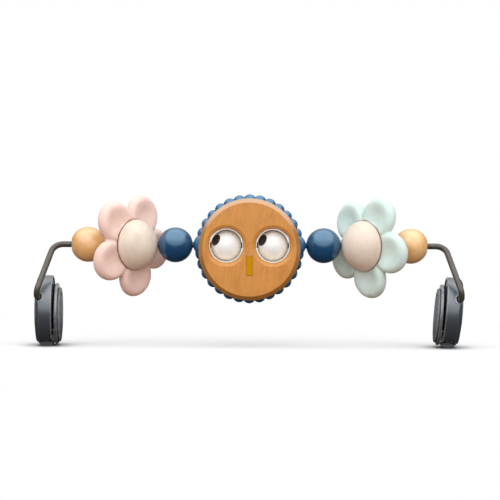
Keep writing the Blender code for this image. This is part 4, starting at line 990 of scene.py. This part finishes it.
# Each clip is moulded in slate-grey plastic: a round shell with a rolled edge, a base behind a
# rubber pad, and a sprung jaw with its cover. Shapes are made for the left clip, x inwards.
CLIP_RADIUS = 0.035
SHELL_FACE_OUT = 0.0095
SHELL_RIM_IN = 0.0094
SHELL_CROWN_RISE = 0.0022
SHELL_SHOULDER_RADIUS = 0.028
SHELL_EDGE_START = 0.0018
SHELL_WALL = 0.002
SHELL_RIM_ROUNDING = 0.0009
SHELL_RIM_INNER_ROUNDING = 0.00054
SHELL_WALL_LINES = (0.0014, 0.003, 0.0074)
CROWN_SHARE = 0.9           # of a dome, before it meets what lies round it
FINE_ROUNDING = 0.0003
CLIP_STEPS = 176
HOOK_HOLE_RADIUS = 0.004
HOOK_HOLE_OUTWARD = 0.0035
HOOK_HOLE_INWARD = 0.014
CLIP_FROM_HOOK = Vector((0.0038, 0.0315271, -0.0152))
NOTCH_OUTER_DROP = 0.0312
NOTCH_INNER_DROP = 0.027
PLATE_FACE = 0.0082
PLATE_BACK = 0.0052
PLATE_FACE_ROUNDING = 0.0004
GRIP_PAD_RADIUS = 0.0262
GRIP_PAD_CUT_DROP = 0.0185
SOLE_RADIUS = 0.012
SOLE_INWARD = 0.0042
FOOT_HALF_LENGTH = 0.015
FOOT_TOP_DROP = 0.0307
FOOT_REACH = 0.0098
EAR_RADIUS = 0.0043
EAR_INNER_FACE = 0.0102
EAR_OUTER_FACE = 0.0134
PIN_RADIUS = 0.0015
PIN_POINT = Vector((0.0046, 0, -0.0282))
WINDOW_TOP_DROP = 0.0205
JAW_RADIUS = 0.0304
JAW_DROP = 0.0032
JAW_BACK = 0.0117
JAW_FACE = 0.0147
JAW_EDGE_ROUNDING = 0.0008
JAW_PAD_RADIUS = 0.0217
JAW_PAD_THICKNESS = 0.0009
LUG_EYE_RADIUS = 0.0028
LUG_REACH = 0.0125
LUG_INNER_FACE = 0.0047
LUG_OUTER_FACE = 0.0097
LUG_TOP_RISE = 0.0044
LUG_FOOT_DROP = 0.0007
COVER_RADIUS = 0.0272
COVER_DROP = 0.0042
COVER_FACE = 0.0173
COVER_CROWN = 0.0012
COVER_EDGE_ROUNDING = 0.0013
COVER_BACK_ROUNDING = 0.0002
COVER_RING_RADIUS = 0.021
COVER_RING_WIDTH = 0.0022
COVER_RING_DEPTH = 0.0009
SPRING_WIRE_RADIUS = 0.00045
SPRING_COIL_RADIUS = 0.00245
SPRING_TURNS = 4.25
SPRING_HALF_LENGTH = 0.0037
SPRING_TURN_STEPS = 24
SPRING_TOP_RISE = 0.0117
SPRING_TOP_INWARD = 0.0044
SPRING_BEND_RISE = 0.0047
SPRING_END_RISE = 0.0002
SPRING_END_DEPTH = 0.0013
SLATE_COLOURS = ((0.032, 0.042, 0.054, 1), (0.039, 0.050, 0.063, 1))
SLATE_HIGHLIGHT_COLOUR = (0.42, 0.45, 0.46, 1)
SLATE_GLOSS_COLOUR = (0.70, 0.86, 1.0, 1)
SLATE_GRAIN = (0.00045, 0.00003, 0.008)
RUBBER_COLOURS = ((0.040, 0.045, 0.054, 1), (0.052, 0.058, 0.068, 1))
RUBBER_GRAIN = (0.0005, 0.00006, 0.006)
COVER_COLOURS = ((0.020, 0.025, 0.031, 1), (0.028, 0.033, 0.041, 1))
RIGHT_CLIP_TILT = math.radians(4.5)


# Slate plastic, whose lighter edge colour is a painted highlight along the rims.
def slate_plastic(name, colours, highlight_colour, coat):
    return skinned(
        name, colours, SLATE_GRAIN, roughness=(0.36, 0.5), patches=(0.35, 0.7),
        edge_wear_and_highlight=(highlight_colour, 0.022, 0.004), Specular_Tint=SLATE_GLOSS_COLOUR,
        Specular_IOR_Level=0.9, Coat_Weight=coat, Coat_Roughness=0.32, Coat_IOR=2.1,
    )


def inwards(shape, drop=0):
    """Turns a shape spun round Z so that it is spun round the clip's inward x, and lowers it."""
    bmesh.ops.rotate(shape, verts=shape.verts, matrix=Matrix.Rotation(math.radians(90), 3, "Y"))
    bmesh.ops.translate(shape, verts=shape.verts, vec=(0, 0, -drop))
    return shape


def dome(radius, face, rise, steps):
    """A shallow dome's outline, from its top on the axis out to its shoulder."""
    shares = [step / steps for step in range(steps + 1)]
    return [(radius * share, face + rise * share * share) for share in shares]


def plate(outline, low, high):
    """An outline of (x, z) points, pulled along Y from low to high."""
    shape = bmesh.new()
    face = shape.faces.new([shape.verts.new((x, low, z)) for x, z in outline])
    pulled = bmesh.ops.extrude_face_region(shape, geom=[face])
    moved = [item for item in pulled["geom"] if isinstance(item, bmesh.types.BMVert)]
    bmesh.ops.translate(shape, verts=moved, vec=(0, high - low, 0))
    return shape


def ear(radius, reach, top_rise, bottom_drop, low, high):
    """A hinge ear: round about the pin, and straight back to what carries it."""
    outline = arc((PIN_POINT.x, PIN_POINT.z), radius, math.pi / 2, math.pi * 3 / 2, 20)
    outline += [(reach, PIN_POINT.z - bottom_drop), (reach, PIN_POINT.z + top_rise)]
    return plate(outline, low, high)


def pin_hole():
    reach = Vector((0, EAR_OUTER_FACE + OVERRUN, 0))
    return rod(PIN_RADIUS + GAP, PIN_POINT - reach, PIN_POINT + reach, steps=32)


def shell_shape():
    """A low dome that rolls over into a wall, with the hollow behind it."""
    crown_foot = SHELL_CROWN_RISE - SHELL_FACE_OUT
    outline = dome(SHELL_SHOULDER_RADIUS, -SHELL_FACE_OUT, SHELL_CROWN_RISE, 10)
    for step in range(1, 15):
        angle = math.pi / 2 * step / 14
        across = SHELL_SHOULDER_RADIUS + (CLIP_RADIUS - SHELL_SHOULDER_RADIUS) * math.sin(angle)
        along = (crown_foot + SHELL_EDGE_START) * math.cos(angle) - SHELL_EDGE_START
        outline.append((across, along))
    rim = softened([
        (CLIP_RADIUS, -SHELL_EDGE_START, 0),
        *((CLIP_RADIUS, along, 0) for along in SHELL_WALL_LINES),
        (CLIP_RADIUS, SHELL_RIM_IN, SHELL_RIM_ROUNDING),
        (CLIP_RADIUS - SHELL_WALL, SHELL_RIM_IN, SHELL_RIM_INNER_ROUNDING),
        (CLIP_RADIUS - SHELL_WALL, -SHELL_EDGE_START, 0),
    ])
    outline += [tuple(point) for point in rim[1:]]
    outline.append((SHELL_SHOULDER_RADIUS, crown_foot + SHELL_WALL))
    hollow_radius = SHELL_SHOULDER_RADIUS * CROWN_SHARE
    hollow = dome(hollow_radius, SHELL_WALL - SHELL_FACE_OUT, SHELL_CROWN_RISE * CROWN_SHARE**2, 3)
    return inwards(spun(outline + hollow[::-1], CLIP_STEPS))


def notch_shape():
    """What is cut off the shell's lower edge, more of it on the inner side."""
    outer, inner = -SHELL_FACE_OUT - OVERRUN, SHELL_RIM_IN + OVERRUN
    rise = (NOTCH_OUTER_DROP - NOTCH_INNER_DROP) / (SHELL_FACE_OUT + SHELL_RIM_IN) * OVERRUN
    bottom = -CLIP_RADIUS - OVERRUN
    outline = [
        (outer, -NOTCH_OUTER_DROP - rise), (inner, rise - NOTCH_INNER_DROP),
        (inner, bottom), (outer, bottom),
    ]
    return plate(outline, -CLIP_RADIUS, CLIP_RADIUS)


def base_shape():
    radius = CLIP_RADIUS - SHELL_WALL - GAP
    outline = softened([
        (0, PLATE_BACK, 0),
        (radius, PLATE_BACK, FINE_ROUNDING),
        (radius, PLATE_FACE, PLATE_FACE_ROUNDING),
        (0, PLATE_FACE, 0),
    ])
    return inwards(spun(outline, CLIP_STEPS))


def foot_shape():
    """The foot: a round sole, with a level top and a flat inner end."""
    centre = (SOLE_INWARD, SOLE_RADIUS - CLIP_RADIUS)
    chord = math.sqrt(SOLE_RADIUS**2 - (FOOT_TOP_DROP + centre[1]) ** 2)
    first = math.pi + math.acos(chord / SOLE_RADIUS)
    last = math.tau - math.acos((FOOT_REACH - SOLE_INWARD) / SOLE_RADIUS)
    outline = arc(centre, SOLE_RADIUS, first, last, 24) + [(FOOT_REACH, -FOOT_TOP_DROP)]
    return plate(outline, -FOOT_HALF_LENGTH, FOOT_HALF_LENGTH)


def pad_shape(radius, low, high, drop=0):
    return inwards(washer(0, radius, low, high, (high - low) / 3, 128, 3), drop)


def jaw_shape():
    """A disc with a recess for its pad."""
    recess = JAW_BACK + JAW_PAD_THICKNESS + GAP
    outline = softened([
        (0, recess, 0),
        (JAW_PAD_RADIUS + GAP, recess, 0),
        (JAW_PAD_RADIUS + GAP, JAW_BACK, FINE_ROUNDING),
        (JAW_RADIUS, JAW_BACK, JAW_EDGE_ROUNDING),
        (JAW_RADIUS, JAW_FACE, JAW_EDGE_ROUNDING),
        (0, JAW_FACE, 0),
    ])
    return inwards(spun(outline, CLIP_STEPS), JAW_DROP)


def cover_shape():
    """A disc with a ring-shaped groove round a low dome."""
    inner = COVER_RING_RADIUS - COVER_RING_WIDTH / 2
    outer = COVER_RING_RADIUS + COVER_RING_WIDTH / 2
    crown_radius, crown_rise = inner * CROWN_SHARE, COVER_CROWN * CROWN_SHARE**2
    outline = softened([
        (0, JAW_FACE + GAP, 0),
        (COVER_RADIUS, JAW_FACE + GAP, COVER_BACK_ROUNDING),
        (COVER_RADIUS, COVER_FACE, COVER_EDGE_ROUNDING),
        (outer, COVER_FACE, FINE_ROUNDING),
        (outer, COVER_FACE - COVER_RING_DEPTH, FINE_ROUNDING),
        (inner, COVER_FACE - COVER_RING_DEPTH, FINE_ROUNDING),
        (inner, COVER_FACE, FINE_ROUNDING),
        (crown_radius, COVER_FACE + COVER_CROWN - crown_rise, 0),
    ])
    top = dome(crown_radius, COVER_FACE + COVER_CROWN, -crown_rise, 10)
    outline = [tuple(point) for point in outline[:-1]] + top[::-1]
    return inwards(spun(outline, CLIP_STEPS), COVER_DROP)


def spring_points():
    """One leg behind the base plate, the turns round the pin, and one leg into the jaw."""
    bend = (PIN_POINT.x - SPRING_COIL_RADIUS, SPRING_BEND_RISE)
    points = [
        Vector((inward, -SPRING_HALF_LENGTH, PIN_POINT.z + rise))
        for inward, rise in ((SPRING_TOP_INWARD, SPRING_TOP_RISE), bend)
    ]
    count = round(SPRING_TURNS * SPRING_TURN_STEPS)
    for step in range(count + 1):
        angle = math.pi + math.tau * step / SPRING_TURN_STEPS
        along = SPRING_HALF_LENGTH * (2 * step / count - 1)
        across, up = SPRING_COIL_RADIUS * math.cos(angle), SPRING_COIL_RADIUS * math.sin(angle)
        points.append(PIN_POINT + Vector((across, along, up)))
    for inward in (SHELL_RIM_IN, JAW_BACK + SPRING_END_DEPTH):
        points.append(Vector((inward, SPRING_HALF_LENGTH, PIN_POINT.z + SPRING_END_RISE)))
    return points


# The shell, jaw and cover get painted highlights on their rims; the base gets none.
slate = slate_plastic("slate_plastic", SLATE_COLOURS, SLATE_HIGHLIGHT_COLOUR, coat=0.85)
base_slate = slate_plastic("base_slate_plastic", SLATE_COLOURS, SLATE_COLOURS[1], coat=0.3)
cover_slate = slate_plastic("dark_slate_plastic", COVER_COLOURS, SLATE_HIGHLIGHT_COLOUR, coat=0.0)
rubber = skinned(
    "dark_rubber", RUBBER_COLOURS, RUBBER_GRAIN, roughness=(0.7, 0.8), Specular_IOR_Level=0.3
)
hole_start = -CLIP_FROM_HOOK - hook_line * HOOK_HOLE_OUTWARD
hole_end = -CLIP_FROM_HOOK + hook_line * HOOK_HOLE_INWARD
window_low = Vector((PLATE_BACK - OVERRUN, -EAR_INNER_FACE - GAP, -CLIP_RADIUS))
window_high = Vector((PLATE_FACE + OVERRUN, EAR_INNER_FACE + GAP, -WINDOW_TOP_DROP))
cut_low = Vector((PLATE_FACE - OVERRUN, -GRIP_PAD_RADIUS, -GRIP_PAD_RADIUS - OVERRUN))
cut_high = Vector((SHELL_RIM_IN + OVERRUN, GRIP_PAD_RADIUS, -GRIP_PAD_CUT_DROP))
plate_middle = (PLATE_BACK + PLATE_FACE) / 2
pin_half = EAR_OUTER_FACE - GAP
for side_name, side, tilt in (("left", -1, 0), ("right", 1, RIGHT_CLIP_TILT)):
    clip_body, jaw_body = side_name + "_clip", side_name + "_jaw"
    swing = Quaternion(mirrored(hook_line, side), tilt * side).to_matrix().to_4x4()
    hand = Matrix.Diagonal((-side, 1, 1, 1))
    place = Matrix.Translation(mirrored(hook_entry, side)) @ swing @ hand
    place = place @ Matrix.Translation(CLIP_FROM_HOOK)

    hook_hole = rod(HOOK_HOLE_RADIUS, hole_start, hole_end, steps=64)
    window = block(window_low, window_high)
    ears = [
        ear(EAR_RADIUS, plate_middle, EAR_RADIUS, EAR_RADIUS - GAP, *span)
        for span in ((-EAR_OUTER_FACE, -EAR_INNER_FACE), (EAR_INNER_FACE, EAR_OUTER_FACE))
    ]
    lugs = [
        ear(LUG_EYE_RADIUS, LUG_REACH, LUG_TOP_RISE, LUG_FOOT_DROP, *span)
        for span in ((-LUG_OUTER_FACE, -LUG_INNER_FACE), (LUG_INNER_FACE, LUG_OUTER_FACE))
    ]
    grip_pad = pad_shape(GRIP_PAD_RADIUS, PLATE_FACE + GAP, SHELL_RIM_IN)
    for name, shape, finish, body, slot, node, openings, joined, holes in (
        ("_shell", shell_shape(), slate, clip_body, "slate_plastic", "_clip_shell",
         [hook_hole, notch_shape()], [], []),
        ("_base", base_shape(), base_slate, clip_body, "slate_plastic", "_clip_base",
         [window], [foot_shape(), *ears], [pin_hole()]),
        ("_grip", grip_pad, rubber, clip_body, "dark_rubber", "_clip_grip_pad",
         [block(cut_low, cut_high)], [], []),
        ("_jaw_plate", jaw_shape(), slate, jaw_body, "slate_plastic", "_jaw",
         [], lugs, [pin_hole()]),
    ):
        piece = add_piece(side_name + name, shape, HERE, finish, body, side_name + node)
        for tools, operation in (
            (openings, "DIFFERENCE"), (joined, "UNION"), (holes, "DIFFERENCE")
        ):
            for tool in tools:
                combine(piece, tool, HERE, operation)
        set_in_place(piece, place)
        if slot == "slate_plastic":
            even_flats(piece)
    add_piece(
        side_name + "_jaw_grip",
        pad_shape(JAW_PAD_RADIUS, JAW_BACK, JAW_BACK + JAW_PAD_THICKNESS, JAW_DROP),
        place, rubber, jaw_body, jaw_body + "_grip_pad",
    )
    cover = add_piece(
        side_name + "_cover", cover_shape(), place, cover_slate, jaw_body,
        jaw_body + "_cover",
    )
    even_flats(cover)

    pin = washer(0, PIN_RADIUS, -pin_half, pin_half, FINE_ROUNDING, 40)
    bmesh.ops.rotate(pin, verts=pin.verts, matrix=Matrix.Rotation(math.radians(90), 3, "X"))
    bmesh.ops.translate(pin, verts=pin.verts, vec=PIN_POINT)
    add_piece(
        side_name + "_pin", pin, place, steel, clip_body, side_name + "_hinge_pin"
    )
    turns = [place @ point for point in spring_points()]
    spring = add_wire(side_name + "_spring", turns, SPRING_WIRE_RADIUS, 4, steel)
    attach(spring, clip_body)
    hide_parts(side_name + "_jaw_spring")
    dress_node(side_name + "_wire_socket", slate)
    for index in (1, 2, 3):
        dress_node(f"{clip_body}_screw_{index}", steel)


# The floor is a pale sheet with a painted contact shadow near the object. It runs into a white
# background and keeps the object's shadow.
# What it throws back up on the object is kept low, as on a stage with dark sides.
FLOOR_RADIUS = 3.0
FLOOR_COLOUR = (0.90, 0.90, 0.905, 1)
CONTACT_SHADOW_COLOUR = (0.36, 0.37, 0.38, 1)
CONTACT_SHADOW_REACH = 0.024
FLOOR_BOUNCE_COLOUR = (0.31, 0.20, 0.14, 1)
FLOOR_GLOSS_COLOUR = (0.04, 0.04, 0.045, 1)
BACKGROUND_START = 0.15
BACKGROUND_END = 0.5
WHITE_NEAR = 0.25


def pale_floor():
    """Paper near the object, painted darker as a contact shadow where the object comes close. Far
    away, and behind the object for gloss, it is white light.
    """
    finish = bpy.data.materials.new("pale_floor")
    finish.use_nodes = True
    tree = finish.node_tree
    tree.nodes.clear()
    place = object_place(tree)
    path = add_node(tree, "LightPath").outputs
    # Painted contact shadow: ambient occlusion darkens the floor near the object and holds back the
    # white light there.
    shadow_occlusion = add_node(tree, "AmbientOcclusion", {"samples": 12}, Distance=CONTACT_SHADOW_REACH)
    unshadowed_share = remap(shadow_occlusion.outputs["AO"], 0.35, 0.95)
    colour = mix_colours(unshadowed_share, CONTACT_SHADOW_COLOUR, FLOOR_COLOUR)
    colour = mix_colours(path["Is Glossy Ray"], colour, FLOOR_GLOSS_COLOUR)
    colour = mix_colours(path["Is Diffuse Ray"], colour, FLOOR_BOUNCE_COLOUR)
    paper = add_node(tree, "BsdfDiffuse", Color=colour)
    white_light = add_node(tree, "Emission", Strength=1.0)
    distance = add_node(tree, "VectorMath", {"operation": "LENGTH"}, Vector=place)
    far = remap(distance.outputs["Value"], BACKGROUND_START, BACKGROUND_END, WHITE_NEAR)
    far = calculate("MULTIPLY", far, unshadowed_share)
    spot = add_node(tree, "SeparateXYZ", Vector=place)
    far_behind = remap(spot.outputs["Y"], BACKGROUND_START, BACKGROUND_END)
    white_share = 0.0
    for kind, share in (
        ("Is Camera Ray", far), ("Is Transmission Ray", far), ("Is Glossy Ray", far_behind)
    ):
        white_share = calculate("MULTIPLY_ADD", path[kind], share, white_share, clamp=True)
    whole = add_node(tree, "MixShader", Fac=white_share)
    tree.links.new(paper.outputs["BSDF"], whole.inputs[1])
    tree.links.new(white_light.outputs["Emission"], whole.inputs[2])
    add_node(tree, "OutputMaterial", Surface=whole.outputs["Shader"])
    return finish


floor_shape = bmesh.new()
bmesh.ops.create_circle(floor_shape, cap_ends=True, segments=96, radius=FLOOR_RADIUS)
floor_mesh = bpy.data.meshes.new("floor")
floor_shape.to_mesh(floor_mesh)
floor_shape.free()
floor_mesh.materials.append(pale_floor())
floor = add_object("floor", floor_mesh)


# The light is one very large round panel in front and overhead, and a weak fill that comes mostly
# from there. What the camera sees behind the object is white, and so is what the gloss sees there.
KEY_DISTANCE = 0.85
KEY_RISE = math.radians(60)
KEY_DIAMETER = 3.2
KEY_POWER = 29
FILL_NEAR = 0.82
FILL_AWAY = 0.02
FILL_LINE = (0, -0.85, 0.53)
GLOSS_FILL = 0.03

lamp_data = bpy.data.lights.new("key", "AREA")
lamp_data.shape = "DISK"
lamp_data.size = KEY_DIAMETER
lamp_data.energy = KEY_POWER
key = add_object("key", lamp_data)
key_line = Vector((0, -math.cos(KEY_RISE), math.sin(KEY_RISE)))
key.location = Vector((0, 0, BAR_HEIGHT)) + key_line * KEY_DISTANCE
key.rotation_euler = key_line.to_track_quat("Z", "Y").to_euler()
key.visible_camera = False

world = bpy.data.worlds.new("studio")
scene.world = world
world.use_nodes = True
sky = world.node_tree
path = add_node(sky, "LightPath").outputs
direction = add_node(sky, "TexCoord").outputs["Generated"]
parts = add_node(sky, "SeparateXYZ", Vector=direction).outputs
towards = add_node(sky, "VectorMath", {"operation": "DOT_PRODUCT"}, Vector=direction)
towards.inputs[1].default_value = FILL_LINE
fill = remap(towards.outputs["Value"], -0.6, 1.0, FILL_AWAY, FILL_NEAR)
behind = remap(parts["Y"], 0.9, 0.99, GLOSS_FILL)
above = remap(parts["Z"], 0.35, 0.65, GLOSS_FILL)
mirrored_sky = calculate("MAXIMUM", behind, above)
reflecting = calculate("MAXIMUM", path["Is Glossy Ray"], path["Is Transmission Ray"])
strength = add_node(sky, "Mix", Factor=reflecting, A=fill, B=mirrored_sky)
strength = calculate("MAXIMUM", path["Is Camera Ray"], strength.outputs["Result"])
set_inputs(sky.nodes["Background"], Color=(1, 1, 1, 1), Strength=strength)
